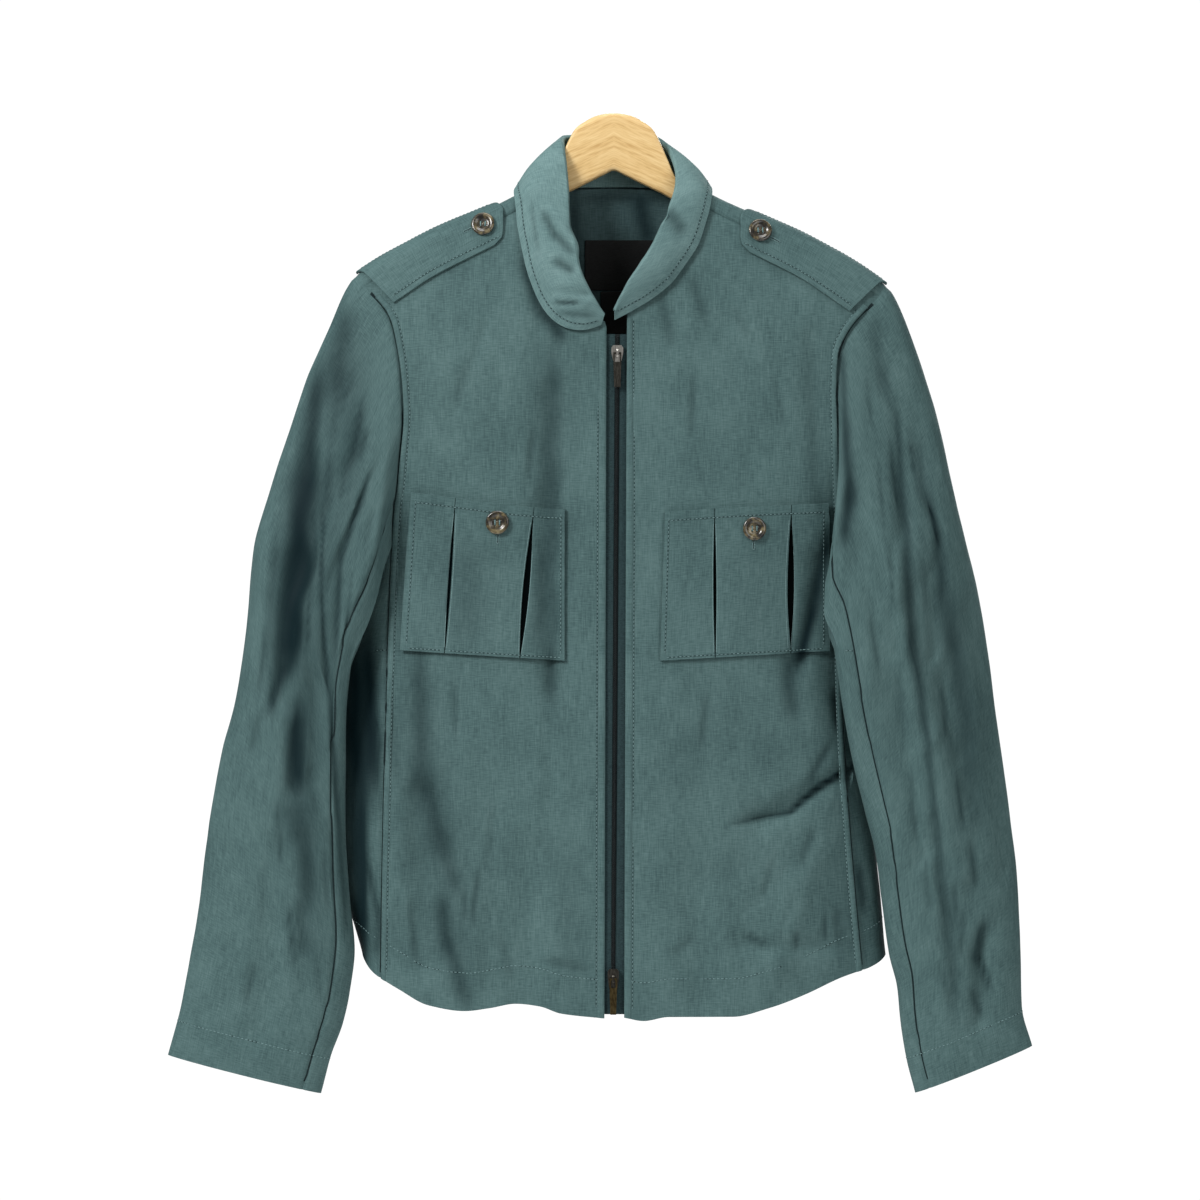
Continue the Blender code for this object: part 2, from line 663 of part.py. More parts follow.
def build_sheet(sheet, normals):
    """Wall of cloth: the outer faces, the same faces moved in, and the rim."""
    numbers = {}
    outer = []
    faces = []
    for face in sheet.faces:
        ring = []
        for corner in face:
            place = spot(corner)
            if place not in numbers:
                numbers[place] = len(outer)
                outer.append(corner.copy())
            ring.append(numbers[place])
        faces.append(tuple(ring))
    places = list(numbers)
    rim = rim_edges(faces)
    on_rim = {k for edge in rim for k in edge}
    pulls = {k: Vector() for k in on_rim}
    for face in faces:
        centre = sum((outer[k] for k in face), Vector()) / len(face)
        for k in face:
            if k in pulls:
                pulls[k] += (centre - outer[k]).normalized()
    points = []
    for k, point in enumerate(outer):
        if k in pulls and pulls[k].length > 0:
            point = point + pulls[k].normalized() * SEAM_PULL
        points.append(point + sheet.shifts.get(places[k], Vector()))
    count = len(points)
    inner = []
    for place, point in zip(places, points):
        owner = sheet.name if place in sheet.alone else ""
        inner.append(point - normals[owner, place] * sheet.wall)
    outside = [triangle for face in faces for triangle in split_face(face, outer)]
    inside = [tuple(k + count for k in reversed(triangle)) for triangle in outside]
    rims = [triangle for a, b in rim for triangle in split_rim(a, b, count, places)]
    return solid_from(sheet.name, points + inner, outside + inside + rims, sheet.colour, 60.0)


def arm_top_x(side, arc):
    return side.arm_top - ARM_TOP_SLOPE * abs(arc)


def shoulder_row(side, arc):
    """Points across the shoulder, from the neck to the armhole."""
    row = []
    for k in range(SHOULDER_COLUMNS + 1):
        x = mix(NECK_HALF, arm_top_x(side, arc), k / SHOULDER_COLUMNS)
        row.append(over_shoulder(side.sign * x, arc))
    return row


def front_lower_rows(side):
    """Rows of the front panel, from the hem up to the foot of the armhole."""
    columns = NECK_COLUMNS_FRONT + SHOULDER_COLUMNS
    rows = []
    for i in range(LOWER_ROWS + 1):
        v = i / LOWER_ROWS
        row = []
        for j in range(columns + 1):
            s = j / columns
            hem_x = mix(curve(side.centre_edge, -680.0), curve(side.seam, -650.0), s)
            z = mix(curve(side.hem, hem_x), JUNCTION_Z, v)
            x = mix(curve(side.centre_edge, z), curve(side.seam, z), s)
            row.append(front_point(side.sign * x, z))
        rows.append(row)
    return rows


def patch_between(bottom, top, left, right):
    """Rows that fill a four-sided outline of (x, z) points, without its bottom row."""
    rows = []
    last = len(bottom) - 1
    for i in range(1, len(left)):
        v = i / (len(left) - 1)
        row = []
        for j in range(last + 1):
            s = j / last
            place = [0.0, 0.0]
            for axis in (0, 1):
                ruled = mix(bottom[j][axis], top[j][axis], v) + mix(left[i][axis], right[i][axis], s)
                low = mix(bottom[0][axis], bottom[-1][axis], s)
                high = mix(top[0][axis], top[-1][axis], s)
                place[axis] = ruled - mix(low, high, v)
            row.append(tuple(place))
        rows.append(row)
    return rows


def flat(point):
    return (point.x, point.z)


def neckline_row(side):
    """Front neckline, from the centre edge to the shoulder seam."""
    row = []
    first = side.neckline[0][0]
    for k in range(NECK_COLUMNS_FRONT):
        part = k / NECK_COLUMNS_FRONT
        x = mix(first, NECK_HALF, 1 - (1 - part) ** 1.6)
        row.append((side.sign * x, curve(side.neckline, x)))
    return row


def front_rows(side):
    """All the rows of a front panel, from the hem to the neck and shoulder."""
    rows = front_lower_rows(side)
    seam_row = shoulder_row(side, SHOULDER_SEAM_ARC)
    top = neckline_row(side) + [flat(point) for point in seam_row]
    bottom = [flat(point) for point in rows[-1]]
    neck_z = top[0][1]
    arm_z = top[-1][1]
    left = []
    right = []
    for i in range(UPPER_ROWS + 1):
        v = i / UPPER_ROWS
        z = mix(JUNCTION_Z, neck_z, v)
        left.append((side.sign * curve(side.centre_edge, z), z))
        z = mix(JUNCTION_Z, arm_z, v)
        right.append((side.sign * curve(side.arm_front, z), z))
    right[-1] = top[-1]
    left[-1] = top[0]
    for row in patch_between(bottom, top, left, right):
        rows.append([front_point(x, z) for x, z in row])
    rows[-1][NECK_COLUMNS_FRONT:] = seam_row
    return rows


def back_seam_x(side, z):
    return curve(side.seam, z) - BACK_SEAM_INSET


def back_rows():
    """Rows of the back panel, from the hem to the neck and the top of the shoulders."""
    columns = 2 * SHOULDER_COLUMNS + NECK_COLUMNS_BACK
    rows = []
    for i in range(LOWER_ROWS + 1):
        v = i / LOWER_ROWS
        row = []
        for j in range(columns + 1):
            s = j / columns
            hem_x = mix(-back_seam_x(LEFT, -650.0), back_seam_x(RIGHT, -650.0), s)
            z = mix(curve(BACK_HEM, abs(hem_x)), JUNCTION_Z, v)
            x = mix(-back_seam_x(LEFT, z), back_seam_x(RIGHT, z), s)
            row.append(back_point(x, z))
        rows.append(row)
    left_shoulder = list(reversed(shoulder_row(LEFT, WRAP_ARCS[0])))
    right_shoulder = shoulder_row(RIGHT, WRAP_ARCS[0])
    neck_end = right_shoulder[0]
    neck = []
    for k in range(1, NECK_COLUMNS_BACK):
        x = mix(-NECK_HALF, NECK_HALF, k / NECK_COLUMNS_BACK)
        drop = (x / NECK_HALF) ** 2
        neck.append((x, mix(BACK_NECK_Z, neck_end.z, drop)))
    top = [flat(point) for point in left_shoulder] + neck + [flat(point) for point in right_shoulder]
    bottom = [flat(point) for point in rows[-1]]
    left = []
    right = []
    for i in range(UPPER_ROWS + 1):
        v = i / UPPER_ROWS
        z = mix(JUNCTION_Z, top[0][1], v)
        left.append((-curve(LEFT.arm_back, z), z))
        z = mix(JUNCTION_Z, top[-1][1], v)
        right.append((curve(RIGHT.arm_back, z), z))
    left[-1] = top[0]
    right[-1] = top[-1]
    for row in patch_between(bottom, top, left, right):
        rows.append([back_point(x, z) for x, z in row])
    rows[-1][: SHOULDER_COLUMNS + 1] = left_shoulder
    rows[-1][-SHOULDER_COLUMNS - 1:] = right_shoulder
    return rows


def side_rows(side, fronts, backs):
    """Rows of a side panel, from the front seam round to the back seam."""
    rows = []
    for i in range(LOWER_ROWS + 1):
        v = i / LOWER_ROWS
        first = fronts[i]
        last = backs[i]
        row = []
        for c in range(SIDE_COLUMNS + 1):
            part = c / SIDE_COLUMNS
            if c == 0:
                row.append(first)
                continue
            if c == SIDE_COLUMNS:
                row.append(last)
                continue
            dip = ARMPIT_DIP * math.sin(math.pi * part) ** 2
            edge_z = mix(fronts[0].z, backs[0].z, part)
            edge_z += side_hem_rise(side, fronts[0].z, backs[0].z, part)
            z = mix(edge_z, JUNCTION_Z - dip, v)
            row.append(side_point(side, first, last, part, z))
        rows.append(row)
    return rows


def side_hem_rise(side, front_z, back_z, part):
    """The hem climbs to its highest place at the very side."""
    corner = side.hem[-1][1]
    lift = corner - mix(front_z, back_z, 0.5)
    return lift * math.sin(math.pi * part) ** 1.2


def side_point(side, first, last, part, z):
    half = curve(side.half_width, z)
    behind = part > 0.5
    if behind:
        depth = last.y * (2 * part - 1)
        full = swell(last.x, z, True)
    else:
        depth = first.y * (1 - 2 * part)
        full = swell(first.x, z, False)
    ratio = min(abs(depth) / full, 1.0)
    x = half * (1 - ratio ** 2) ** (1 / 3)
    return Vector((side.sign * x, depth, z))


def armhole_loop(side, fronts, sides, backs, wraps):
    """Points round an armhole, from the shoulder point down the front and up the back."""
    loop = [wraps[2], wraps[3], wraps[4]]
    loop += [row[-1] for row in reversed(fronts[LOWER_ROWS:-1])]
    loop += sides[-1][1:]
    edge = -1 if side.sign > 0 else 0
    loop += [row[edge] for row in backs[LOWER_ROWS + 1:-1]]
    loop += [wraps[0], wraps[1]]
    return loop


def sleeve_axis(side, v):
    """Outer and inner points of a sleeve, a part v of the way down."""
    outer_z = mix(*side.sleeve_outer_z, v)
    inner_z = mix(*side.sleeve_inner_z, v)
    outer = Vector((side.sign * curve(side.sleeve_outer, outer_z), curve(side.outer_y, outer_z), outer_z))
    inner = Vector((side.sign * curve(side.sleeve_inner, inner_z), curve(side.inner_y, inner_z), inner_z))
    return outer, inner


def crease_height(creases, s, turn):
    total = 0.0
    scale = CREASE_MM_PER_DEGREE
    for crease in creases:
        start = (crease.s0, crease.turn0 * scale)
        end = (crease.s1, crease.turn1 * scale)
        away = line_distance(s, turn * scale, *start, *end)
        total += crease.height * math.exp(-((away / crease.width) ** 2))
    return total


def under_part(turn):
    """1 where the sleeve hangs beside the body under the arm, 0 elsewhere."""
    return math.exp(-(((turn - UNDER_TURN) / UNDER_SPREAD) ** 2))


def carried_move(side, outer_move, inner_move, turn):
    """How far a point of the armhole travels down the sleeve before it takes its own ring."""
    away = Vector((side.sign * max(side.sign * inner_move.x, 0.0), 0.0, inner_move.z))
    behind = smoothstep((turn - 170.0) / 60.0)
    inner_part = mix(inner_move, away, behind)
    return mix(inner_part, outer_move, (1 + math.cos(math.radians(turn))) / 2)


def clear_of_body(point, margin):
    """Move a point straight out of the body until it is a margin away from it."""
    for _ in range(3):
        half = curve(side_of(point.x).half_width, point.z)
        depth = swell(point.x, point.z, point.y > 0)
        level = (abs(point.x) / half) ** 3 + (point.y / depth) ** 2 - 1
        steep = Vector((math.copysign(3 * point.x ** 2 / half ** 3, point.x), 2 * point.y / depth ** 2, 0.0))
        away = level / steep.length
        if away >= margin:
            break
        point = point + steep.normalized() * (margin - away)
    return point


def sleeve_rows(side, loop, creases):
    """Rings of a sleeve, from the armhole to the cuff."""
    rings = [list(loop)]
    outer_0, inner_0 = sleeve_axis(side, 0.0)
    for i in range(1, SLEEVE_RINGS + 1):
        v = i / SLEEVE_RINGS
        outer, inner = sleeve_axis(side, v)
        centre = (outer + inner) / 2
        half = (outer - inner) / 2
        depth = curve(SLEEVE_DEPTH, v)
        ring = []
        for k, turn in enumerate(ARMHOLE_TURNS):
            angle = math.radians(turn)
            blend = smoothstep(v / mix(SLEEVE_HEAD, UNDER_HEAD, under_part(turn)))
            own = centre + half * math.cos(angle) + Vector((0.0, -depth * math.sin(angle), 0.0))
            carried = loop[k] + carried_move(side, outer - outer_0, inner - inner_0, turn)
            point = mix(carried, own, blend)
            point.z = mix(carried.z, own.z, smoothstep(v / SLEEVE_LEVEL))
            fold = crease_height(creases, v * SLEEVE_LENGTH, turn) * smoothstep(v * 8)
            point += (point - centre).normalized() * fold
            if point.z < loop[k].z and JUNCTION_Z > point.z > SLEEVE_FREE_Z:
                point = clear_of_body(point, min(SLEEVE_CLEAR, 0.2 * (loop[k].z - point.z)))
            ring.append(point)
        rings.append(ring)
    return rings


def build_torso_and_sleeves():
    """Fronts, sides, back and sleeves, whose walls share their seams."""
    sheets = []
    backs = back_rows()
    back = Sheet("back", "linen_dark")
    back.add_grid(backs, lambda centre: Vector((0, 1, 0)))
    for side, word, creases in ((LEFT, "left", CREASES_LEFT), (RIGHT, "right", CREASES_RIGHT)):
        fronts = front_rows(side)
        front = Sheet("front_" + word, "linen")
        front.add_grid(fronts, lambda centre: Vector((0, -1, 0)))
        edge = -1 if side.sign > 0 else 0
        sides = side_rows(
            side,
            [row[-1] for row in fronts[: LOWER_ROWS + 1]],
            [row[edge] for row in backs[: LOWER_ROWS + 1]],
        )
        panel = Sheet("side_" + word, "linen")
        panel.add_grid(sides, lambda centre, sign=side.sign: Vector((sign, 0, 0)))
        wrap_rows = [shoulder_row(side, arc) for arc in WRAP_ARCS]
        back.add_grid(wrap_rows, lambda centre: Vector((0, 1, 1)))
        loop = armhole_loop(side, fronts, sides, backs, [row[-1] for row in wrap_rows])
        rings = sleeve_rows(side, loop, creases)
        middle = sum(loop, Vector()) / len(loop)
        under_arm = [spot(point) for point in loop[UNDER_FIRST:UNDER_LAST + 1]]
        panel.alone = set(under_arm[1:-1])
        closed = [ring + ring[:1] for ring in rings]
        out = Vector((side.sign * 0.4, 0.0, -0.1))
        parts = (
            ("sleeve_top_" + word, list(range(BACK_SEAM_POINT, 22)) + list(range(FRONT_SEAM_POINT + 1))),
            ("sleeve_under_" + word, list(range(FRONT_SEAM_POINT, BACK_SEAM_POINT + 1))),
        )
        for name, chosen in parts:
            sleeve = Sheet(name, "linen")
            strip = [[ring[k] for k in chosen] for ring in closed]
            ring_middle = (sum(rings[1], Vector()) / len(rings[1]) + middle) / 2
            sleeve.add_grid(strip, lambda centre, m=ring_middle: centre - m)
            sleeve.shifts = {spot(point): out for point in loop}
            sleeve.alone = set(under_arm)
            sheets.append(sleeve)
        sheets += [front, panel]
    sheets.append(back)
    normals = gather_normals(sheets)
    for sheet in sheets:
        build_sheet(sheet, normals)


def body_place(x, z, on):
    """Point and outward direction on the front, the ridge or the back."""
    if on < 0:
        return front_point(x, z), front_normal(x, z)
    if on > 0:
        return back_point(x, z), back_normal(x, z)
    top = Vector((x, 0.0, z))
    return top, Vector((math.copysign(0.5, x), 0.0, 0.86))


def collar_section(station, before, after):
    """Points across the collar: outer edge, fall, roll, stand and neck seam."""
    base, normal = body_place(station.edge_x, station.edge_z, station.edge_on)
    edge = base + normal * COLLAR_LIFT
    neck = body_place(station.neck_x, station.neck_z, station.neck_on)[0]
    roll = Vector((station.roll_x, station.roll_y, station.roll_z))
    along = Vector((after.roll_x - before.roll_x, after.roll_y - before.roll_y, after.roll_z - before.roll_z))
    down = (edge - roll).normalized()
    out = down.cross(along).normalized()
    if out.dot(normal) < 0:
        out = -out
    length = (edge - roll).length
    size = mix(COLLAR_ROLL_FRONT, COLLAR_ROLL, smoothstep((length - 8) / 30))
    bulge = COLLAR_BULGE * smoothstep((length - 6) / 40)
    middle = roll + down * size
    fall_top = middle + out * size
    stand_top = middle - out * size
    slant = size * math.sqrt(0.5)
    return [
        edge,
        mix(edge, fall_top, COLLAR_LOW_FALL) + out * bulge,
        mix(edge, fall_top, COLLAR_HIGH_FALL) + out * bulge * COLLAR_HIGH_SHARE,
        fall_top,
        middle + (out - down) * slant,
        roll,
        middle - (out + down) * slant,
        mix(stand_top, neck, COLLAR_STAND_TOP),
        mix(stand_top, neck, COLLAR_STAND_MIDDLE),
        neck,
    ]


def build_collar():
    stations = COLLAR_LEFT + tuple(reversed(COLLAR_RIGHT))
    rows = []
    for k, station in enumerate(stations):
        before = stations[max(k - 1, 0)]
        after = stations[min(k + 1, len(stations) - 1)]
        rows.append(collar_section(station, before, after))
    across = [list(column) for column in zip(*rows)]
    collar = Sheet("collar", "linen")
    front_row_centre = Vector((0.0, 0.0, -60.0))
    collar.add_grid(across, lambda centre: centre - front_row_centre)
    build_sheet(collar, gather_normals([collar]))


def build_hanger():
    """Wooden arms, a ten-sided section carried from tip to tip."""
    stations = [(-x, top, bottom, half) for x, top, bottom, half in reversed(HANGER[1:])] + list(HANGER)
    points = []
    for x, top, bottom, half in stations:
        ring = (
            (-0.35 * half, top), (-0.75 * half, top - 1.2), (-half, top - 4.5),
            (-half, bottom + 2.0), (-0.75 * half, bottom),
            (0.75 * half, bottom), (half, bottom + 2.0),
            (half, top - 4.5), (0.75 * half, top - 1.2), (0.35 * half, top),
        )
        points += [(x, y, z) for y, z in ring]
    size = 10
    faces = []
    for k in range(len(stations) - 1):
        for n in range(size):
            m = (n + 1) % size
            faces.append((k * size + n, k * size + m, (k + 1) * size + m, (k + 1) * size + n))
    faces.append(tuple(range(size)))
    end = (len(stations) - 1) * size
    faces.append(tuple(end + n for n in reversed(range(size))))
    solid_from("hanger", points, faces, "beech")


def patch_solid(name, outer, inner, colour, sharp_degrees=40.0):
    """Solid between two grids of points of the same size."""
    rows = len(outer)
    columns = len(outer[0])
    points = [point for row in outer for point in row] + [point for row in inner for point in row]
    count = rows * columns
    faces = []
    used = []
    for i in range(rows - 1):
        for j in range(columns - 1):
            a = i * columns + j
            face = (a, a + 1, a + 1 + columns, a + columns)
            faces.append(face)
            used.append(face)
    for face in used:
        faces.append(tuple(k + count for k in reversed(face)))
    for a, b in rim_edges(used):
        faces.append((b, a, a + count, b + count))
    return solid_from(name, points, faces, colour, sharp_degrees)


def build_pocket(name, pocket):
    """Patch pocket: a plain inside and a box pleat raised between two slits."""
    (foot_x0, foot_z0), (foot_x1, foot_z1) = pocket.bottom
    first = min(pocket.top)[0]
    last = max(pocket.top)[0]
    outer = []
    inner = []
    for i in range(POCKET_ROWS + 1):
        v = i / POCKET_ROWS
        left = mix(foot_x0, first, v)
        right = mix(foot_x1, last, v)
        columns = [left, left + 0.5 * (mix(*reversed(pocket.slits[0][:2]), v) - left)]
        heights = [0.0, 0.0]
        for top_x, bottom_x, top_gap, bottom_gap in pocket.slits:
            x = mix(bottom_x, top_x, v)
            gap = mix(bottom_gap, top_gap, v) / 2
            columns += [x - gap - SLIT_LIP, x - gap, x + gap, x + gap + SLIT_LIP]
            heights += [0.0, -1.0, -1.0, 0.0]
            if len(columns) == 6:
                middle = mix(bottom_x, top_x, v) + 0.5 * (
                    mix(pocket.slits[1][1], pocket.slits[1][0], v) - x
                )
                columns.append(middle)
                heights.append(PLEAT_CROWN)
        columns += [0.5 * (columns[-1] + right), right]
        heights += [0.0, 0.0]
        outer_row = []
        inner_row = []
        for x, height in zip(columns, heights):
            s = (x - left) / (right - left)
            z_low = mix(foot_z0, foot_z1, s)
            z_high = curve(pocket.top, mix(first, last, s))
            z = mix(z_low, z_high, v)
            rise = POCKET_WALL + (POCKET_PLEAT + height * POCKET_PLEAT if i < POCKET_ROWS else POCKET_PLEAT)
            lift = PATCH_LIFT + PATCH_LIFT_SIDE * (abs(x) / 160.0) ** 4
            outer_row.append(on_front(x, z, lift + rise))
            inner_row.append(on_front(x, z, lift))
        outer.append(outer_row)
        inner.append(inner_row)
    patch_solid(name, outer, inner, "linen", 35.0)


def build_epaulette(name, side):
    """Shoulder strap from the sleeve seam to a chamfered end by the collar."""
    inner_x = EPAULETTE_END_LEFT if side.sign < 0 else EPAULETTE_END_RIGHT
    outer = []
    inner = []
    for k in range(EPAULETTE_CELLS + 1):
        part = k / EPAULETTE_CELLS
        outer_row = []
        inner_row = []
        for c, cut in EPAULETTE_CHAMFER:
            width = curve(EPAULETTE_WIDTH, part)
            arc = mix(-EPAULETTE_BEHIND, width, c)
            start = side.arm_top - EPAULETTE_INSET - EPAULETTE_SLANT * max(arc, 0.0)
            x = side.sign * mix(start, inner_x + cut, part)
            point = over_shoulder(x, arc)
            normal = shoulder_normal(x, arc)
            outer_row.append(point + normal * (EPAULETTE_LIFT + EPAULETTE_WALL))
            inner_row.append(point + normal * EPAULETTE_LIFT)
        outer.append(outer_row)
        inner.append(inner_row)
    patch_solid(name, outer, inner, "linen", 35.0)


def build_button(name, x, z, base, normal):
    """Turned button with a raised rim and a dished middle."""
    across = normal.cross(Vector((0, 0, 1))).normalized()
    up = across.cross(normal)
    points = []
    radius = BUTTON_DIAMETER / 2
    rings = BUTTON_PROFILE[1:-1]
    for part, height in rings:
        for k in range(BUTTON_SIDES):
            angle = 2 * math.pi * k / BUTTON_SIDES
            spread = across * math.cos(angle) + up * math.sin(angle)
            points.append(base + spread * radius * part + normal * height)
    top = len(points)
    points.append(base + normal * BUTTON_PROFILE[0][1])
    bottom = len(points)
    points.append(base + normal * BUTTON_PROFILE[-1][1])
    faces = []
    for r in range(len(rings) - 1):
        for k in range(BUTTON_SIDES):
            m = (k + 1) % BUTTON_SIDES
            a = r * BUTTON_SIDES
            b = a + BUTTON_SIDES
            faces.append((a + k, a + m, b + m, b + k))
    last = (len(rings) - 1) * BUTTON_SIDES
    for k in range(BUTTON_SIDES):
        m = (k + 1) % BUTTON_SIDES
        faces.append((top, m, k))
        faces.append((bottom, last + k, last + m))
    solid_from(name, points, faces, "horn")


def build_buttons():
    for name, x, z in BUTTONS:
        if "epaulette" in name:
            arc = BUTTON_EPAULETTE_ARC
            point = over_shoulder(x, arc)
            normal = shoulder_normal(x, arc)
            lift = EPAULETTE_LIFT + EPAULETTE_WALL + BUTTON_CROWN + BUTTON_GAP
        else:
            point = front_point(x, z)
            normal = front_normal(x, z, 8.0)
            lift = PATCH_LIFT + POCKET_WALL + POCKET_PLEAT * (1 + PLEAT_CROWN) + BUTTON_GAP
        build_button(name, x, z, point + normal * lift, normal)


def zip_x(z):
    return curve(ZIP_LINE, z)


def strip_solid(name, columns, front, thickness, colour):
    """Straight strip down the front: columns of x by height, a depth behind the cloth."""
    outer = []
    inner = []
    for i in range(ZIP_ROWS + 1):
        z = mix(ZIP_BOTTOM, ZIP_TOP, i / ZIP_ROWS)
        y = front_y(zip_x(z), z) + front
        row = [Vector((x, y, z)) for x in columns(z)]
        outer.append(row)
        inner.append([point + Vector((0, thickness, 0)) for point in row])
    patch_solid(name, outer, inner, colour)


def build_zip():
    strip_solid(
        "zip_tape_left",
        lambda z: (-curve(LEFT.centre_edge, z) - TAPE_TUCK, zip_x(z) - COIL_HALF - COIL_GAP),
        TAPE_DEPTH, TAPE_WALL, "tape",
    )
    strip_solid(
        "zip_tape_right",
        lambda z: (zip_x(z) + COIL_HALF + COIL_GAP, curve(RIGHT.centre_edge, z) + TAPE_TUCK),
        TAPE_DEPTH, TAPE_WALL, "tape",
    )
    strip_solid(
        "zip_coil",
        lambda z: (zip_x(z) - COIL_HALF, zip_x(z), zip_x(z) + COIL_HALF),
        COIL_DEPTH, COIL_HEIGHT, "coil",
    )


def prism(points, x0, x1):
    """Closed prism from a (y, z) outline, between two places along X."""
    count = len(points)
    corners = [(x0, y, z) for y, z in points] + [(x1, y, z) for y, z in points]
    faces = [tuple(range(count)), tuple(range(2 * count - 1, count - 1, -1))]
    for k in range(count):
        m = (k + 1) % count
        faces.append((k, k + count, m + count, m))
    return corners, faces


def slider_face(z):
    """Depth of the slider's back face, just in front of the coil."""
    return front_y(zip_x(z), z) + COIL_DEPTH - SLIDER_GAP


def build_slider(row):
    """Slider body with the bridge that the pull hangs from."""
    name = "slider_" + row.word
    top_z = row.top_z
    length = row.length
    pivot_z = row.pivot_z
    x = zip_x(pivot_z)
    back = min(slider_face(top_z), slider_face(top_z - length)) - SLIDER_SLACK
    front = back - SLIDER_BODY
    wide = row.wide
    narrow = row.narrow
    outline = (
        (-wide * 0.7, top_z), (wide * 0.7, top_z), (wide, top_z - 2.0), (wide, top_z - length * 0.45),
        (narrow, top_z - length + 1.0), (narrow * 0.7, top_z - length),
        (-narrow * 0.7, top_z - length), (-narrow, top_z - length + 1.0),
        (-wide, top_z - length * 0.45), (-wide, top_z - 2.0),
    )
    count = len(outline)
    points = [(x + px, back, pz) for px, pz in outline] + [(x + px, front, pz) for px, pz in outline]
    faces = [tuple(range(count)), tuple(range(2 * count - 1, count - 1, -1))]
    for k in range(count):
        m = (k + 1) % count
        faces.append((k, k + count, m + count, m))
    body = solid_from(name, points, faces, row.colour)
    sink = front + BRIDGE_SINK
    crown = front - TUNNEL - BRIDGE_WALL
    ceiling = front - TUNNEL
    high = pivot_z + TUNNEL_HALF
    low = pivot_z - TUNNEL_HALF
    profile = (
        (sink, high + BRIDGE_FOOT), (ceiling, high + BRIDGE_FOOT), (crown, high + 0.5),
        (crown, low - 0.5), (ceiling, low - BRIDGE_FOOT), (sink, low - BRIDGE_FOOT),
        (sink, low), (ceiling, low), (ceiling, high), (sink, high),
    )
    corners, sides = prism(profile, x - BRIDGE_HALF, x + BRIDGE_HALF)
    bridge = solid_from(name + "_bridge", corners, sides, row.colour)
    bridge.hide_render = True
    bridge.display_type = "WIRE"
    join = body.modifiers.new("bridge", "BOOLEAN")
    join.operation = "UNION"
    join.object = bridge
    return front


def build_pull(row, front):
    """Pull tab whose top bar turns under the slider's bridge."""
    pivot = Vector((zip_x(row.pivot_z), front - TUNNEL / 2, row.pivot_z))
    bar = PULL_BAR
    half_width = row.pull_half
    inner_half = half_width - PULL_SIDE
    xs = (-half_width, -inner_half, inner_half, half_width)
    zs = (bar, -bar, -PULL_RING_DROP, row.pull_end_z - row.pivot_z)
    points = []
    for depth in (-bar, bar):
        for z in zs:
            for px in xs:
                inset = PULL_TAPER if z == zs[-1] and abs(px) == half_width else 0.0
                points.append((px * (1 - inset / half_width), depth, z))
    columns = len(xs)
    count = columns * len(zs)
    cells = [(r, c) for r in range(3) for c in range(3) if (r, c) != (1, 1)]
    front_faces = []
    for r, c in cells:
        a = r * columns + c
        front_faces.append((a, a + 1, a + 1 + columns, a + columns))
    faces = list(front_faces)
    faces += [tuple(k + count for k in reversed(face)) for face in front_faces]
    faces += [(b, a, a + count, b + count) for a, b in rim_edges(front_faces)]
    tab = solid_from("zip_pull_" + row.word, points, faces, "gunmetal")
    tab.location = pivot * MM


def build_sliders():
    for row in SLIDERS:
        front = build_slider(row)
        build_pull(row, front)


def build_label(name, x0, x1, z0, z1):
    """Blank woven label on the inside of the back."""
    outer = []
    inner = []
    for i in range(LABEL_ROWS + 1):
        z = mix(z0, z1, i / LABEL_ROWS)
        outer_row = []
        inner_row = []
        for j in range(LABEL_COLUMNS + 1):
            x = mix(x0, x1, j / LABEL_COLUMNS)
            normal = back_normal(x, z)
            outer_row.append(back_point(x, z) - normal * (CLOTH + LABEL_GAP))
            inner_row.append(back_point(x, z) - normal * (CLOTH + LABEL_GAP + LABEL_WALL))
        outer.append(outer_row)
        inner.append(inner_row)
    patch_solid(name, outer, inner, "label")


def main():
    for old in list(bpy.data.objects):
        bpy.data.objects.remove(old)
    build_torso_and_sleeves()
    build_collar()
    build_hanger()
    build_pocket("pocket_left", POCKET_LEFT)
    build_pocket("pocket_right", POCKET_RIGHT)
    build_epaulette("epaulette_left", LEFT)
    build_epaulette("epaulette_right", RIGHT)
    build_buttons()
    build_zip()
    build_sliders()
    for name, corners in LABELS:
        build_label(name, *corners)


main()
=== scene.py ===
# A zip-front blouson of linen cloth on a wooden hanger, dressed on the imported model.
# Sizes are in millimetres and become metres when a mesh is made.
# X runs to the right as seen from the front, the front faces -Y, +Z is up.
# The origin is the top of the hanger. Left and right are as seen from the front.
import bisect
import math
from collections import namedtuple

import bpy
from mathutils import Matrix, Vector, noise
from mathutils.bvhtree import BVHTree


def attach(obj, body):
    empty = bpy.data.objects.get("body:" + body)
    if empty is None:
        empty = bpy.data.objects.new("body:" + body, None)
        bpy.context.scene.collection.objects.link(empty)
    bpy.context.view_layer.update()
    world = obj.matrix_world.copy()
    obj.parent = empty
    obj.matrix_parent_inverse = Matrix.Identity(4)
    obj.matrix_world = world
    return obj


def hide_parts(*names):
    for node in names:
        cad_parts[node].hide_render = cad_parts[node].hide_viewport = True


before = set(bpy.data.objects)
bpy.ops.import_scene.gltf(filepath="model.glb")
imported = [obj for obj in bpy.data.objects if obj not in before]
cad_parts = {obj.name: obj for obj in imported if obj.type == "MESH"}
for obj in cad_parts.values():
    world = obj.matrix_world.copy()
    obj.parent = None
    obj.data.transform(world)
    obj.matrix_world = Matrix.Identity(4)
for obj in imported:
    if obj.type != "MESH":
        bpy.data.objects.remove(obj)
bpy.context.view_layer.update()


def rows_of(kind, *rows):
    """A table whose columns have the names of a kind of row."""
    return tuple(kind(*row) for row in rows)


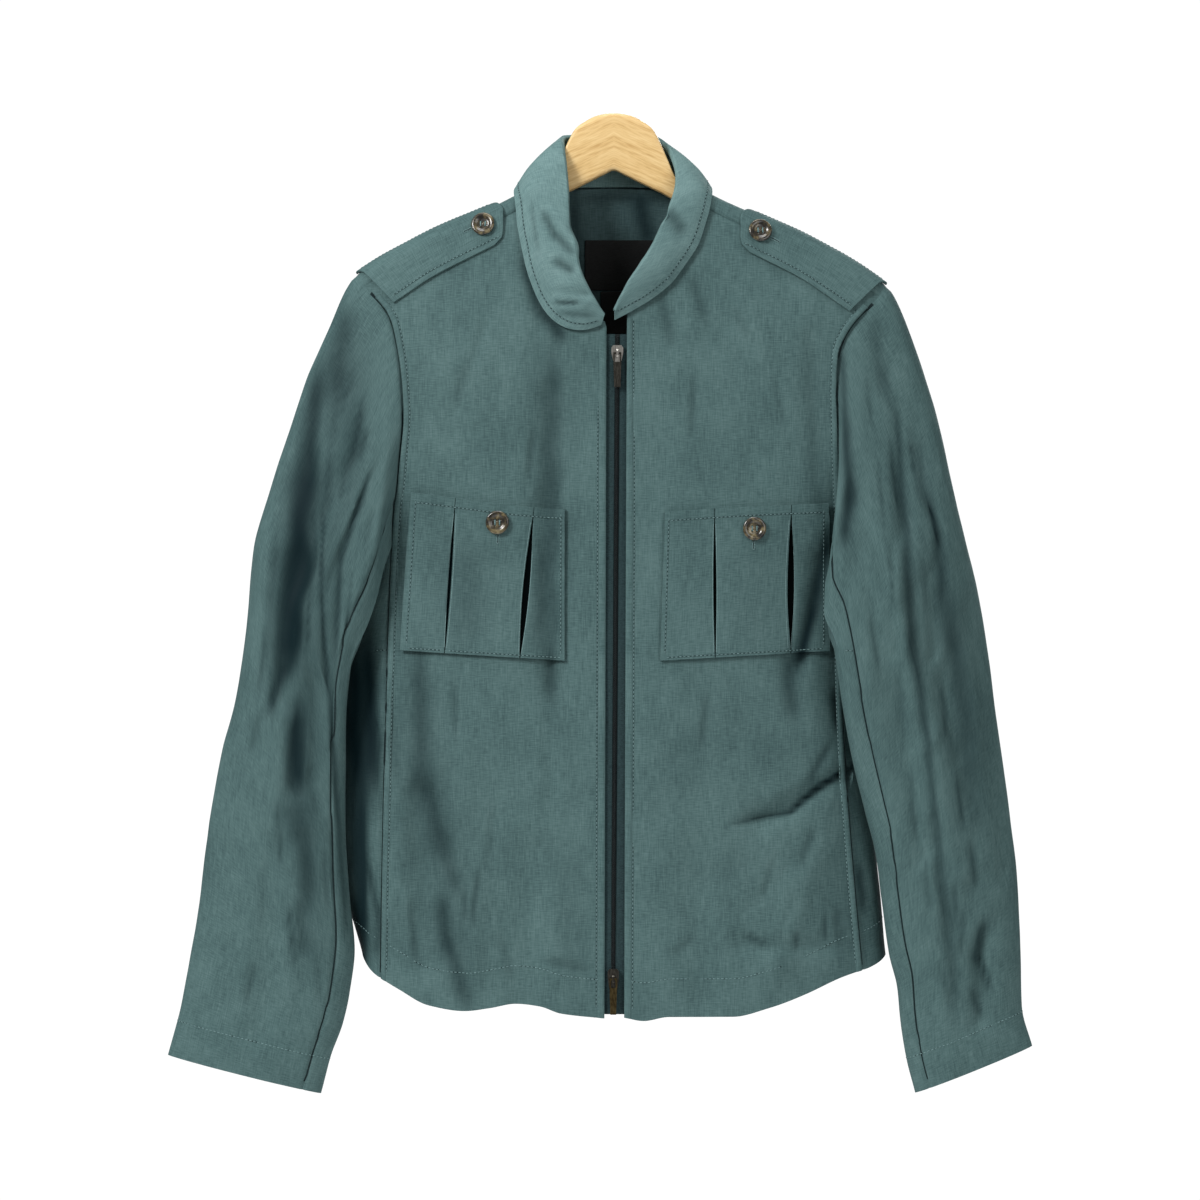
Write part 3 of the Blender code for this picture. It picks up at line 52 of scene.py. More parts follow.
def deeper(rows, share):
    """The same folds or creases, standing deeper."""
    return tuple(row._replace(height=row.height * share) for row in rows)


MM = 0.001
# Cells of the cloth for each cell of its solid
FINE = 7
# Driving dimensions of the cloth
CLOTH = 1.2
PATCH_LIFT = 0.6
PATCH_LIFT_SIDE = 1
# Shoulder ridge: distance from the centre line, height
RIDGE = (
    (59, -52),
    (70, -59),
    (85, -66.8),
    (106, -75.8),
    (139, -90),
    (157, -99.5),
    (177, -110.5),
    (196, -122.8),
    (210, -133),
)
RIDGE_RADIUS = 10
NECK_HALF = 59
NECK_RISE_BACK = 27
SHOULDER_FALL = 55
# Depth of the body in front of and behind the hanger: height, depth
FRONT_DEPTH = (
    (-50, 20), (-150, 22), (-250, 25), (-375, 28), (-500, 33), (-640, 37),
)
BACK_DEPTH = (
    (-50, 18), (-150, 19), (-250, 20), (-375, 23), (-500, 27), (-640, 31),
)
# Where the panels end and meet
JUNCTION_Z = -325
HEM_CENTRE_Z = -680
HEM_SEAM_Z = -650
ARMPIT_DIP = 13
SHOULDER_SEAM_ARC = 19
WRAP_ARCS = (-14, -7, 0, 7, SHOULDER_SEAM_ARC)
ARM_TOP_SLOPE = 0.38
# Number of cells of the panels
LOWER_ROWS = 14 * FINE
UPPER_ROWS = 6 * FINE
NECK_COLUMNS_FRONT = 5 * FINE
SHOULDER_COLUMNS = 6 * FINE
NECK_COLUMNS_BACK = 6 * FINE
SIDE_COLUMNS = 6 * FINE
Side = namedtuple(
    "Side",
    "sign half_width centre_edge seam hem arm_front arm_back arm_top neckline "
    "sleeve_outer sleeve_inner sleeve_outer_z sleeve_inner_z inner_y outer_y",
)
Fold = namedtuple("Fold", "x0 z0 x1 z1 width height")
Crease = namedtuple("Crease", "s0 turn0 s1 turn1 width height")
Station = namedtuple("Station", "roll_x roll_y roll_z edge_x edge_z edge_on neck_x neck_z neck_on")
LEFT = Side(
    sign=-1,
    half_width=(
        (-635, 191), (-600, 200), (-560, 205.5), (-500, 207.5), (-450, 206), (-419, 202.5),
        (-390, 193), (-370, 186), (-345, 178), (-325, 180), (-260, 225),
        (-200, 255), (-100, 265),
    ),
    centre_edge=((-680, 7.2), (-160, 5.7)),
    seam=((-650, 175.5), (-405, 170.3), (-325, 167)),
    hem=(
        (8, -680), (39.5, -676.5), (55.5, -671.3), (74, -669.4), (93, -672.6),
        (112, -675), (139, -671), (160, -660.5), (181.5, -647), (191, -635),
    ),
    arm_front=(
        (-325, 167), (-302, 165.8), (-282, 162.8), (-259, 160.7), (-232, 158.3),
        (-202, 160), (-165, 165.8), (-154.5, 168.8), (-131, 188.3),
    ),
    arm_back=(
        (-325, 162), (-290, 163), (-240, 163), (-190, 166), (-155, 173),
        (-127, 190.2),
    ),
    arm_top=195.5,
    neckline=((7, -158.5), (20, -153.5), (37, -141), (50, -118), (57, -92), (59, -65.3)),
    sleeve_outer=(
        (-119, 196), (-136, 207), (-163, 218), (-200, 233.6), (-238, 245.7),
        (-286, 260), (-330, 272), (-390, 277), (-442, 285), (-481, 295),
        (-552, 307), (-599, 312.8), (-633, 318.8), (-674, 326.4), (-710, 335.9),
    ),
    sleeve_inner=(
        (-331, 174), (-348, 178.7), (-370, 182), (-390, 187), (-419, 197),
        (-468, 201), (-530, 202), (-588, 199), (-631, 195.5), (-664, 199),
        (-686, 203.5), (-711, 212.7), (-739, 220.5),
    ),
    sleeve_outer_z=(-122.8, -710),
    sleeve_inner_z=(-331, -739),
    inner_y=(
        (-331, -18), (-350, -29), (-375, -37), (-400, -37), (-450, -28),
        (-500, -20), (-600, -14), (-739, -12),
    ),
    outer_y=((-122, 0), (-300, -4), (-710, -12)),
)
RIGHT = Side(
    sign=1,
    half_width=(
        (-635, 206), (-600, 203.5), (-561, 199), (-500, 189), (-450, 182),
        (-400, 178), (-345, 176), (-325, 180), (-260, 225), (-200, 255), (-100, 265),
    ),
    centre_edge=((-680, 7.5), (-176, 9.6), (-150, 9.8)),
    seam=((-650, 187), (-560, 179), (-450, 172), (-325, 169)),
    hem=(
        (8, -679.5), (22, -682), (41, -679), (89, -679), (116, -672.6),
        (142.5, -663), (169.5, -651), (196, -642), (205.5, -635),
    ),
    arm_front=(
        (-325, 169), (-309.5, 170.8), (-276, 169.5), (-240, 168), (-211, 167.3),
        (-185, 168.5), (-166, 176), (-139, 199.8),
    ),
    arm_back=(
        (-325, 164), (-290, 165), (-240, 166), (-190, 170), (-158, 180),
        (-134, 201.7),
    ),
    arm_top=207,
    neckline=((9.8, -149), (22, -139.5), (40, -121), (49, -107), (56, -86), (59, -65.3)),
    sleeve_outer=(
        (-129, 207.8), (-141, 215), (-172, 227.5), (-198, 236), (-229, 245),
        (-288, 257), (-323, 264.8), (-354, 272.6), (-420, 284.6), (-457, 289),
        (-534, 299), (-571, 303.5), (-643, 306.5), (-674, 307.5), (-703, 315.4),
    ),
    sleeve_inner=(
        (-325, 170), (-340, 163.5), (-364, 155), (-382, 154.5), (-402, 162.8),
        (-426, 168), (-464, 173.8), (-495, 180), (-530, 189), (-559, 196.5),
        (-590, 200.6), (-633, 206.8), (-658, 213), (-682, 215), (-709, 219), (-738, 226.3),
    ),
    sleeve_outer_z=(-131, -703),
    sleeve_inner_z=(-331, -738),
    inner_y=(
        (-331, -22), (-345, -37), (-370, -48), (-400, -46), (-450, -38),
        (-500, -30), (-560, -25), (-640, -22), (-738, -18),
    ),
    outer_y=((-131, 0), (-300, -4), (-703, -12)),
)
# Soft folds of the body, as ridges (+) and troughs (-) along a line on the panel
FRONT_FOLDS = rows_of(
    Fold,
    (-48, -215, -46, -430, 16, -2.5),
    (-146, -515, -143, -640, 12, -5),
    (-171, -470, -166, -600, 12, 3),
    (-116, -480, -112, -640, 15, 2.5),
    (-62, -560, -66, -665, 16, -3),
    (146, -345, 149, -405, 14, -3),
    (180, -494, 110, -531, 11, -4.5),
    (150, -560, 120, -640, 13, 3),
    (60, -560, 66, -660, 16, -3),
    (97, -622, 161, -627, 9, -2),
)
BACK_FOLDS = rows_of(
    Fold,
    (-92, -380, -97, -640, 17, -4),
    (-40, -420, -32, -650, 18, 3),
    (50, -400, 57, -645, 16, -4),
    (118, -430, 126, -635, 15, 3),
    (0, -190, 4, -330, 22, -2.5),
)
# Creases of the sleeves: way down the sleeve, turn from the outer line to the front
CREASES_LEFT = rows_of(
    Crease,
    (66, 64, 276, 70, 11, -6),
    (216, 118, 318, 122, 10, -4.5),
    (50, 104, 190, 128, 9, -3.5),
    (150, 32, 420, 28, 14, 3),
    (400, 82, 560, 92, 12, -3.5),
    (430, 45, 540, 60, 11, -2.5),
    (120, 250, 330, 246, 12, -5),
    (210, 302, 480, 296, 13, -3.5),
)
CREASES_RIGHT = rows_of(
    Crease,
    (100, 116, 380, 112, 10, -4.5),
    (104, 52, 128, 62, 10, -4.5),
    (180, 78, 330, 62, 12, -3.5),
    (300, 92, 430, 82, 13, 2.5),
    (240, 26, 450, 32, 13, -3),
    (495, 62, 560, 70, 10, -4),
    (120, 252, 320, 248, 12, -5),
    (230, 300, 470, 304, 13, -3.5),
)
CREASE_MM_PER_DEGREE = 0.8
# Turn of each point of an armhole, in degrees from the shoulder point to the front
ARMHOLE_TURNS = (
    0, 9, 20, 42, 66, 92, 117, 140, 162, 180, 195,
    210, 226, 243, 260, 275, 289, 303, 317, 330, 342, 351,
)
SLEEVE_RINGS = 22 * FINE
SLEEVE_HEAD = 0.34
UNDER_HEAD = 0.12
SLEEVE_LEVEL = 0.7
SLEEVE_CLEAR = 4
SLEEVE_FREE_Z = -660
UNDER_TURN = 230
UNDER_SPREAD = 45
FRONT_SEAM_POINT = 7 * FINE
BACK_SEAM_POINT = 18 * FINE
# Half depth of a sleeve: part of the way down, half depth
SLEEVE_DEPTH = ((0, 30), (0.25, 33), (0.5, 31), (0.75, 25), (1, 16))
# The collar's sections from the centre front to the centre back.
# The edge and the neck seam lie on the front (-1), the ridge (0) or the back (1).
COLLAR_LEFT = rows_of(
    Station,
    (-7, -34, -153, -9.5, -161.5, -1, -8, -156.5, -1),
    (-10.5, -35, -148, -17.5, -164.3, -1, -13, -155.5, -1),
    (-14.5, -36, -141, -27, -165.4, -1, -20, -152.5, -1),
    (-19.5, -36.5, -132, -38, -162.8, -1, -28, -147.5, -1),
    (-24, -37, -122, -48, -155, -1, -36.5, -140, -1),
    (-26.8, -36, -111, -57, -142, -1, -43.5, -129.5, -1),
    (-28.5, -34, -100, -64.5, -123, -1, -49, -117, -1),
    (-31.5, -31, -88, -69.2, -103, -1, -53.5, -103, -1),
    (-32.5, -27, -73, -72.3, -87, -1, -56.5, -89, -1),
    (-33.8, -22, -57, -73.2, -76, -1, -57.8, -77, -1),
    (-35.5, -15, -39, -73.8, -68.5, -1, -58.3, -66, -1),
    (-37.5, -6, -24.5, -73.8, -61.5, -1, -58, -56, -1),
    (-38, 3, -19, -72.8, -59, 0, -57.6, -50, 0),
    (-35.5, 11, -16, -69, -62, 1, -57, -54.5, 1),
    (-27, 16, -14.5, -56, -66.5, 1, -48.5, -55.4, 1),
    (-14, 18.5, -13.5, -30, -68, 1, -27, -54.6, 1),
    (0, 19, -13, 0, -68.5, 1, 0, -54.2, 1),
)
COLLAR_RIGHT = rows_of(
    Station,
    (0, -34.5, -149.5, 0.5, -157.8, -1, 3.5, -152, -1),
    (3, -35, -142.5, 8.5, -153.8, -1, 9.5, -148.5, -1),
    (6.5, -36, -136, 17, -149, -1, 15.5, -143.5, -1),
    (10.5, -37, -128.5, 26.3, -143.5, -1, 23, -137.3, -1),
    (17, -37, -119, 36, -136.5, -1, 32, -129, -1),
    (23, -36, -110, 45, -128, -1, 39.5, -120.3, -1),
    (29, -34, -99.5, 54.8, -114.5, -1, 45.5, -111.3, -1),
    (34.5, -31, -87, 63, -101, -1, 51, -99.5, -1),
    (40, -27, -74, 68.3, -85.5, -1, 55, -86.5, -1),
    (45, -21, -60, 71.5, -74, -1, 57.5, -74, -1),
    (46.3, -14, -47, 72.5, -67, -1, 58.3, -63, -1),
    (44, -5, -35, 72.5, -61, -1, 58, -55, -1),
    (39.5, 4, -25, 71.5, -58.2, 0, 57.6, -50, 0),
    (32, 12, -17.5, 67, -61, 1, 56.4, -54.5, 1),
    (22, 16, -14.5, 54, -66.5, 1, 46.5, -55.4, 1),
    (10, 18.5, -13.3, 28, -68, 1, 26, -54.6, 1),
)
COLLAR_LIFT = 3.2
COLLAR_ROLL = 2.6
COLLAR_ROLL_FRONT = 1.8
COLLAR_BULGE = 3.2
# Parts of the way down the fall and the stand where the collar has a row of points
COLLAR_LOW_FALL = 0.34
COLLAR_HIGH_FALL = 0.7
COLLAR_HIGH_SHARE = 0.9
COLLAR_STAND_TOP = 0.12
COLLAR_STAND_MIDDLE = 0.55
# Hanger: distance from the centre, top, bottom, half thickness
HANGER = (
    (0, 0, -43, 6),
    (7, -0.4, -46, 6),
    (15, -2.5, -50, 6),
    (22, -6.3, -53.5, 6),
    (29, -11.5, -57, 6),
    (34.5, -21, -59.5, 6),
    (40, -33.5, -62.5, 6),
    (46, -47, -66, 6),
    (54, -58, -71, 6),
    (62, -64.5, -76.5, 5.8),
    (72, -69.5, -84, 5.6),
    (89, -78, -94, 5.3),
    (120, -90.5, -111, 5),
    (150, -104.5, -126, 4.6),
    (172, -117, -138, 4.3),
    (185, -125, -144, 4),
)
# Pockets: corners, slits of the box pleat (top x, z, bottom x, z), top and bottom widths
Pocket = namedtuple("Pocket", "top bottom slits")
POCKET_LEFT = Pocket(
    top=((-151.5, -286.5), (-60.8, -298), (-36.5, -299.5)),
    bottom=((-159.5, -405.5), (-36.5, -413)),
    slits=((-118.5, -126.5, 1.2, 4), (-60.5, -70.5, 1.2, 5.5)),
)
POCKET_RIGHT = Pocket(
    top=((38, -301.5), (100, -297.5), (160.8, -294.7)),
    bottom=((34.5, -413), (161, -406)),
    slits=((75.2, 75.6, 1.2, 3.6), (132.5, 131.5, 1.6, 6.5)),
)
POCKET_WALL = 1.3
POCKET_PLEAT = 1.1
PLEAT_CROWN = 0.3
# Buttons: centre x, z and diameter
BUTTON_DIAMETER = 17.5
BUTTONS = (
    ("button_epaulette_left", -98, -83.5),
    ("button_epaulette_right", 109.5, -91),
    ("button_pocket_left", -87, -309.5),
    ("button_pocket_right", 104.6, -314),
)
# Epaulettes: part of the length, lower width from the ridge, measured on the cloth
EPAULETTE_WIDTH = ((0, 46), (0.5, 41), (1, 38))
EPAULETTE_BEHIND = 3.5
EPAULETTE_END_LEFT = 83
EPAULETTE_END_RIGHT = 95
EPAULETTE_INSET = 1.6
EPAULETTE_SLANT = 0.62
# Part of the width from the back edge, how much shorter the strap is there
EPAULETTE_CHAMFER = (
    (0, 17), (0.1, 9), (0.22, 4), (0.4, 0), (0.6, 0), (0.8, 0), (0.92, 1), (1, 7),
)
EPAULETTE_WALL = 1.6
EPAULETTE_LIFT = 0.6
STRAP_PUFF = 0.5
STRAP_DRAPE = 0.4
# Zip
ZIP_TOP = -168
ZIP_BOTTOM = -677
ZIP_LINE = ((-680, -0.8), (-165, 2.6))
TAPE_WALL = 1
TAPE_TUCK = 7
COIL_HALF = 1.6
COIL_GAP = 0.3
# Sleeve length, back hem and back neck
SLEEVE_LENGTH = 600
BACK_HEM = ((0, -667), (60, -666), (120, -661), (165, -648), (205, -635))
BACK_SEAM_INSET = 5
BACK_NECK_Z = -55.5
# Buttons, labels, zip and sliders in section
BUTTON_GAP = 0.4
BUTTON_CROWN = 0.5
BUTTON_EPAULETTE_ARC = 19
# Labels: left and right x, top and bottom z
LABELS = (
    ("neck_label", (-22, 31, -94, -132)),
    ("size_label", (-10, 22, -133, -165)),
)
LABEL_WALL = 1
LABEL_GAP = 0.7
LABEL_RIPPLE = 0.25
LABEL_ROWS = 16
LABEL_COLUMNS = 20
TAPE_DEPTH = CLOTH + 0.9
COIL_DEPTH = CLOTH - 0.1

# Fine unevenness of the cloth, and the ditch at a seam
DRAPE_SEED = Vector((3.7, 11.2, 5.1))
DRAPE_SOFT = 0.9
DRAPE_SOFT_SIZE = (34, 40, 95)
DRAPE_CRUSH = 0.35
DRAPE_CRUSH_SIZE = (11, 13, 24)
SEAM_DITCH = 1.1

# The solid's folds stand deeper here, with finer and sharper ones added
FOLD_DEPTH = 1.25
CREASE_DEPTH = 1.2
BACK_FOLDS = deeper(BACK_FOLDS, FOLD_DEPTH)
FRONT_FOLDS = deeper(FRONT_FOLDS, FOLD_DEPTH) + rows_of(
    Fold,
    (-52, -290, -47, -520, 7, -1.6),
    (-38, -190, -36, -330, 9, 1.4),
    (-128, -500, -124, -560, 6, -1.6),
    (-140, -560, -133, -640, 6, -2.2),
    (-155, -590, -151, -650, 5, 1.6),
    (-100, -560, -104, -650, 7, 1.4),
    (154, -335, 139, -402, 8, -3.2),
    (158, -330, 160, -352, 5, 1.6),
    (181, -496, 112, -532, 5, -2.6),
    (176, -486, 118, -516, 6, 1.8),
    (140, -560, 100, -600, 6, -1.2),
    (97, -626, 161, -628, 3.5, -1.3),
    (112, -615, 150, -618, 4, 0.9),
    (136, -590, 122, -628, 5, -1.2),
    (-96, -160, -104, -186, 4, -1.4),
    (-58, -140, -54, -190, 8, -2),
    (66, -130, 86, -160, 6, -1.2),
    (148, -170, 156, -300, 6, -1.5),
)
CREASES_LEFT = deeper(CREASES_LEFT, CREASE_DEPTH) + rows_of(
    Crease,
    (40, 92, 150, 108, 4.5, -2.2),
    (60, 118, 170, 132, 4, -1.8),
    (110, 80, 240, 96, 5, 1.8),
    (240, 100, 330, 96, 5, -2.4),
    (300, 120, 350, 90, 5, -2),
    (330, 60, 430, 66, 6, -1.6),
    (430, 112, 540, 118, 5, -1.6),
    (500, 30, 590, 40, 6, 1.4),
    (90, 30, 200, 44, 7, -1.6),
)
CREASES_RIGHT = deeper(CREASES_RIGHT, CREASE_DEPTH) + rows_of(
    Crease,
    (70, 128, 190, 136, 5, -2),
    (60, 96, 200, 100, 4.5, -2),
    (150, 92, 300, 88, 5, 1.6),
    (180, 56, 236, 70, 5, -3),
    (260, 70, 380, 64, 5, -1.8),
    (360, 100, 470, 92, 5, -1.6),
    (500, 74, 570, 50, 5, -2.2),
    (520, 110, 590, 104, 6, 1.4),
)
COLLAR_MIDDLE = Vector((0, 0, -60))
# The collar's folds are in front of this depth
COLLAR_FOLDS_Y = -12
COLLAR_FOLDS = rows_of(
    Fold,
    (-52, -84, -31, -118, 3.6, -2),
    (-46, -78, -26, -106, 3.6, 1.4),
    (-42, -136, -20, -139, 2.6, -1.5),
    (-40, -128, -22, -146, 2.8, 0.9),
    (-60, -110, -44, -138, 5, 0.9),
    (40, -80, 56, -98, 4.5, -1.3),
    (24, -116, 40, -126, 4, 0.8),
)

# Troughs pressed into the cloth, as lines seen from the front in millimetres:
# ends, half width, depth, and how much shade is painted into the colour at the bottom of the trough
Trough = namedtuple("Trough", "x0 z0 x1 z1 width depth tone")
SLEEVE_TROUGHS = rows_of(
    Trough,
    (-203, -150, -214, -215, 9, 2, 0.6),
    (-252, -300, -262, -420, 3, 0.8, 0.2),
    (-196, -175, -200, -300, 15, 1.4, 0.42),
    (-212, -290, -222, -420, 16, 1.4, 0.32),
    (-228, -410, -232, -560, 16, 1.4, 0.3),
    (-226, -550, -226, -650, 14, 1, 0.2),
    (226, -230, 244, -400, 14, 1, 0.12),
    (246, -390, 262, -540, 15, 1, 0.12),
    (256, -530, 272, -670, 15, 1, 0.06),
    (-224, -195, -232, -275, 8, 3, 0.85),
    (-231, -258, -240, -352, 12.5, 5, 1),
    (-239, -335, -247, -420, 12, 4.6, 1),
    (-234, -285, -245, -410, 8, 0, 0.8),
    (-247, -412, -258, -452, 5, 2.6, 0.85),
    (-236, -446, -236, -513, 8.5, 3.4, 0.95),
    (-240, -520, -236, -550, 10, 2.2, 0.55),
    (-229, -545, -229, -596, 7, 2.6, 0.55),
    (-236, -595, -232, -632, 7, 1.6, 0.35),
    (-189, -222, -199, -268, 2.4, 1.8, 0.7),
    (-182, -270, -191, -300, 2, 1.5, 0.6),
    (-190, -295, -205, -340, 2.2, 1.7, 0.75),
    (-204, -335, -209, -412, 2.2, 1.7, 0.7),
    (-219, -300, -219, -350, 1.8, 1.3, 0.65),
    (-219, -345, -213, -440, 1.8, 1.4, 0.7),
    (-212, -430, -207, -520, 2.8, 1.6, 0.6),
    (-206, -512, -200, -612, 2.6, 1.6, 0.6),
    (-266, -452, -272, -480, 3, 1.2, 0.35),
    (-205, -190, -214, -245, 5, 1.8, 0.4),
    (212, -222, 217, -290, 3, 2, 0.6),
    (207, -250, 214, -300, 2.2, 1.4, 0.55),
    (217, -284, 221, -350, 4, 2.2, 0.62),
    (220, -344, 225, -410, 4.4, 2.4, 0.66),
    (225, -400, 234, -475, 4, 2.4, 0.68),
    (233, -468, 240, -540, 3.4, 2, 0.58),
    (239, -532, 248, -600, 4, 2, 0.55),
    (248, -594, 256, -672, 5, 1.8, 0.45),
    (238, -292, 246, -326, 2.8, 3.2, 1),
    (229, -252, 236, -298, 4.5, 1.8, 0.4),
    (244, -322, 248, -368, 5, 2.2, 0.6),
    (250, -362, 257, -410, 9, 2.4, 0.5),
    (258, -400, 270, -495, 9.5, 2.6, 0.55),
    (267, -488, 275, -540, 8, 1.6, 0.3),
    (268, -550, 272, -582, 3, 1.8, 0.5),
    (278, -610, 273, -638, 3.4, 2.4, 0.7),
    (273, -634, 282, -660, 2.8, 2, 0.7),
    (254, -580, 257, -612, 2.2, 1.2, 0.4),
    (171, -176, 173, -240, 4, 1.2, 0.6),
    (173, -232, 177, -296, 5, 1.6, 0.8),
    (177, -284, 172, -326, 5, 1.6, 0.8),
    (197, -160, 202, -212, 5, 1.8, 0.4),
)
# Their painted shade also darkens the sides of the body by the sleeves, and paints a shadow below the left
# collar wing
BODY_TROUGHS = rows_of(
    Trough,
    (-196, -400, -196, -520, 12, 1, 1),
    (-195, -510, -194, -640, 7, 1, 0.9),
    (-108, -330, -112, -400, 12, 0.8, 0.15),
    (-52, -325, -58, -400, 7, 1, 0.4),
    (100, -560, 60, -575, 12, 0.8, 0.12),
    (-150, -425, -140, -540, 24, 1, 0.24),
    (-132, -530, -118, -650, 22, 1.2, 0.26),
    (-110, -320, -116, -400, 26, 0.6, 0.16),
    (-52, -200, -48, -330, 14, 0.8, 0.18),
    (-36, -560, -30, -650, 14, 0.6, 0.14),
    (170, -300, 172, -480, 20, 0.8, 0.22),
    (176, -470, 180, -640, 16, 0.8, 0.22),
    (112, -330, 106, -400, 18, 0.6, 0.14),
    (150, -170, 158, -290, 13, 0.8, 0.18),
    (80, -440, 40, -520, 24, 0.6, 0.1),
    (-68, -110, -54, -152, 6, 1.4, 0.7),
    (-55, -148, -38, -172, 5.5, 1.4, 0.75),
    (-46, -175, -47, -300, 7, 1.8, 0.45),
    (-47, -290, -46, -440, 6, 1.6, 0.42),
    (-47, -404, -48, -440, 3.5, 1.2, 0.4),
    (-186, -392, -184, -510, 8, 2, 1),
    (-190, -500, -190, -640, 5, 1.4, 0.95),
    (-180, -452, -179, -505, 3, 1.6, 0.8),
    (-185, -568, -177, -606, 3, 1.4, 0.6),
    (-177, -602, -179, -634, 3.5, 1.2, 0.5),
    (-146, -405, -144, -512, 7, 1.6, 0.45),
    (-143, -500, -132, -556, 8, 2, 0.5),
    (-130, -545, -119, -585, 6, 1.6, 0.4),
    (-131, -592, -126, -632, 5.5, 1.8, 0.6),
    (-124, -625, -110, -672, 6, 1.6, 0.5),
    (-101, -572, -106, -608, 2.4, 1.4, 0.45),
    (-112, -585, -112, -606, 2, 1, 0.35),
    (-50, -637, -20, -643, 3.5, 0.9, 0.35),
    (161, -318, 150, -372, 5, 2.6, 0.9),
    (151, -366, 139, -418, 5.5, 2.8, 1),
    (131, -408, 135, -455, 7, 2, 0.55),
    (168, -436, 170, -464, 4.5, 1.6, 0.55),
    (163, -476, 148, -502, 3.5, 1.4, 0.45),
    (184, -491, 153, -509, 2.4, 2.8, 1),
    (156, -507, 130, -527, 2.4, 2.6, 0.9),
    (134, -525, 90, -534, 2.2, 1.8, 0.65),
    (184, -568, 188, -600, 4.5, 1.8, 0.6),
    (98, -619, 116, -626, 2.6, 1.2, 0.5),
    (136, -616, 137, -628, 2.2, 1, 0.45),
    (158, -605, 159, -622, 2.4, 1.2, 0.55),
    (201, -556, 207, -640, 4.5, 1.2, 0.9),
    (36, -140, 44, -176, 5, 1.2, 0.35),
    (58, -125, 70, -160, 4, 1.2, 0.35),
)
# Small wrinkles, as the ends of each; widths, depths and painted shades are dealt out in turn
Wrinkle = namedtuple("Wrinkle", "x0 z0 x1 z1")
SLEEVE_WRINKLES = rows_of(
    Wrinkle,
    (-196, -196, -206, -226),
    (-209, -236, -215, -262),
    (-186, -240, -193, -262),
    (-200, -262, -206, -292),
    (-213, -262, -216, -300),
    (-180, -300, -186, -330),
    (-196, -350, -200, -392),
    (-225, -300, -226, -345),
    (-228, -360, -229, -402),
    (-256, -330, -260, -372),
    (-262, -392, -266, -436),
    (-242, -470, -246, -512),
    (-252, -520, -250, -566),
    (-262, -560, -266, -610),
    (-244, -600, -240, -640),
    (-216, -560, -214, -600),
    (-272, -640, -276, -668),
    (-222, -640, -220, -668),
    (204, -190, 208, -222),
    (190, -200, 194, -236),
    (222, -240, 226, -270),
    (198, -270, 202, -310),
    (206, -330, 208, -372),
    (232, -340, 234, -376),
    (192, -380, 198, -420),
    (212, -420, 216, -466),
    (246, -430, 250, -470),
    (222, -500, 226, -548),
    (258, -500, 262, -540),
    (232, -560, 236, -604),
    (262, -600, 260, -632),
    (244, -640, 250, -668),
    (270, -660, 276, -680),
)
BODY_WRINKLES = rows_of(
    Wrinkle,
    (-165, -455, -162, -500),
    (-120, -430, -118, -470),
    (-90, -520, -93, -560),
    (-152, -600, -148, -640),
    (-84, -620, -76, -650),
    (-60, -240, -64, -275),
    (-110, -190, -118, -220),
    (60, -200, 58, -240),
    (120, -200, 128, -236),
    (70, -440, 66, -476),
    (120, -560, 112, -590),
    (150, -540, 140, -566),
    (60, -620, 44, -632),
    (168, -600, 170, -630),
    (90, -150, 104, -172),
)
WRINKLE_WIDTHS = (2, 1.6, 2.6, 1.8, 3, 2.2, 1.5)
WRINKLE_DEPTHS = (1, 0.8, 1.3, 0.9, 1.2)
WRINKLE_PAINTED_SHADES = (0.4, 0.3, 0.5, 0.35, 0.45, 0.25)
BODY_WRINKLE_WIDER = 1.2
BODY_WRINKLE_SHADE_PART = 0.7
BACK_TROUGHS = rows_of(
    Trough,
    (-150, -300, -128, -420, 8, 2.2, 0.45),
    (-120, -430, -138, -560, 8, 2, 0.45),
    (-60, -180, -40, -320, 9, 1.8, 0.35),
    (30, -240, 22, -380, 8, 1.6, 0.3),
    (96, -420, 60, -500, 5, 2, 0.5),
    (150, -330, 128, -440, 7, 2.4, 0.55),
    (134, -520, 152, -620, 7, 2, 0.45),
    (-20, -520, -34, -640, 7, 1.6, 0.35),
)
COLLAR_TROUGHS = rows_of(
    Trough,
    (-62, -70, -57, -110, 1.6, 0.5, 0.3),
    (-53, -76, -45, -95, 2.4, 1, 0.5),
    (-46, -92, -31, -108, 3, 1.2, 0.5),
    (-44, -113, -30, -122, 3.4, 1.4, 0.6),
    (-43, -145, -27, -145, 1.6, 1, 0.8),
    (-40, -153, -16, -155, 2.6, 0.8, 0.4),
    (-30, -60, -32, -92, 3, 0.8, 0.5),
    (40, -76, 53, -92, 5.5, 1, 0.55),
)
# Shade painted into the colour of the inside of the back neck, with no depth
NECK_TROUGHS = rows_of(
    Trough,
    (19, -62, 27, -98, 7, 0, 0.85),
    (-30, -60, -27, -130, 5, 0, 0.6),
    (-20, -64, 30, -64, 3, 0, 0.7),
)
TROUGH_FADE = 0.25
TROUGH_WANDER = 0.3
TROUGH_WANDER_SIZE = (25, 30)
# How soon a slanting place takes a trough in full
FACING_STEEP = 1.6
HIDDEN_PART = 0.7

# Stitching: step and length of a stitch, its radius, and the distances from an edge
STITCH_STEP = 3.1
STITCH_LENGTH = 2.3
# Along a stitch: part of its length, part of its radius, rise
STITCH_RINGS = ((-0.5, 0.0, -0.6), (-0.36, 0.8, -0.1), (0.0, 1.0, 0.25), (0.36, 0.8, -0.1), (0.5, 0.0, -0.6))
STITCH_RADIUS = 0.34
HOLE_RADIUS = 0.42
# Widths of the dark strips that paint shade under a row of stitches and along a seam, and the lift of the
# seam's strip
GROOVE_SHADE_WIDTH = 0.95
SEAM_SHADE_WIDTH = 2.2
SEAM_SHADE_LIFT = 0.3
HEM_STITCH = 28.5
CUFF_STITCH = 27
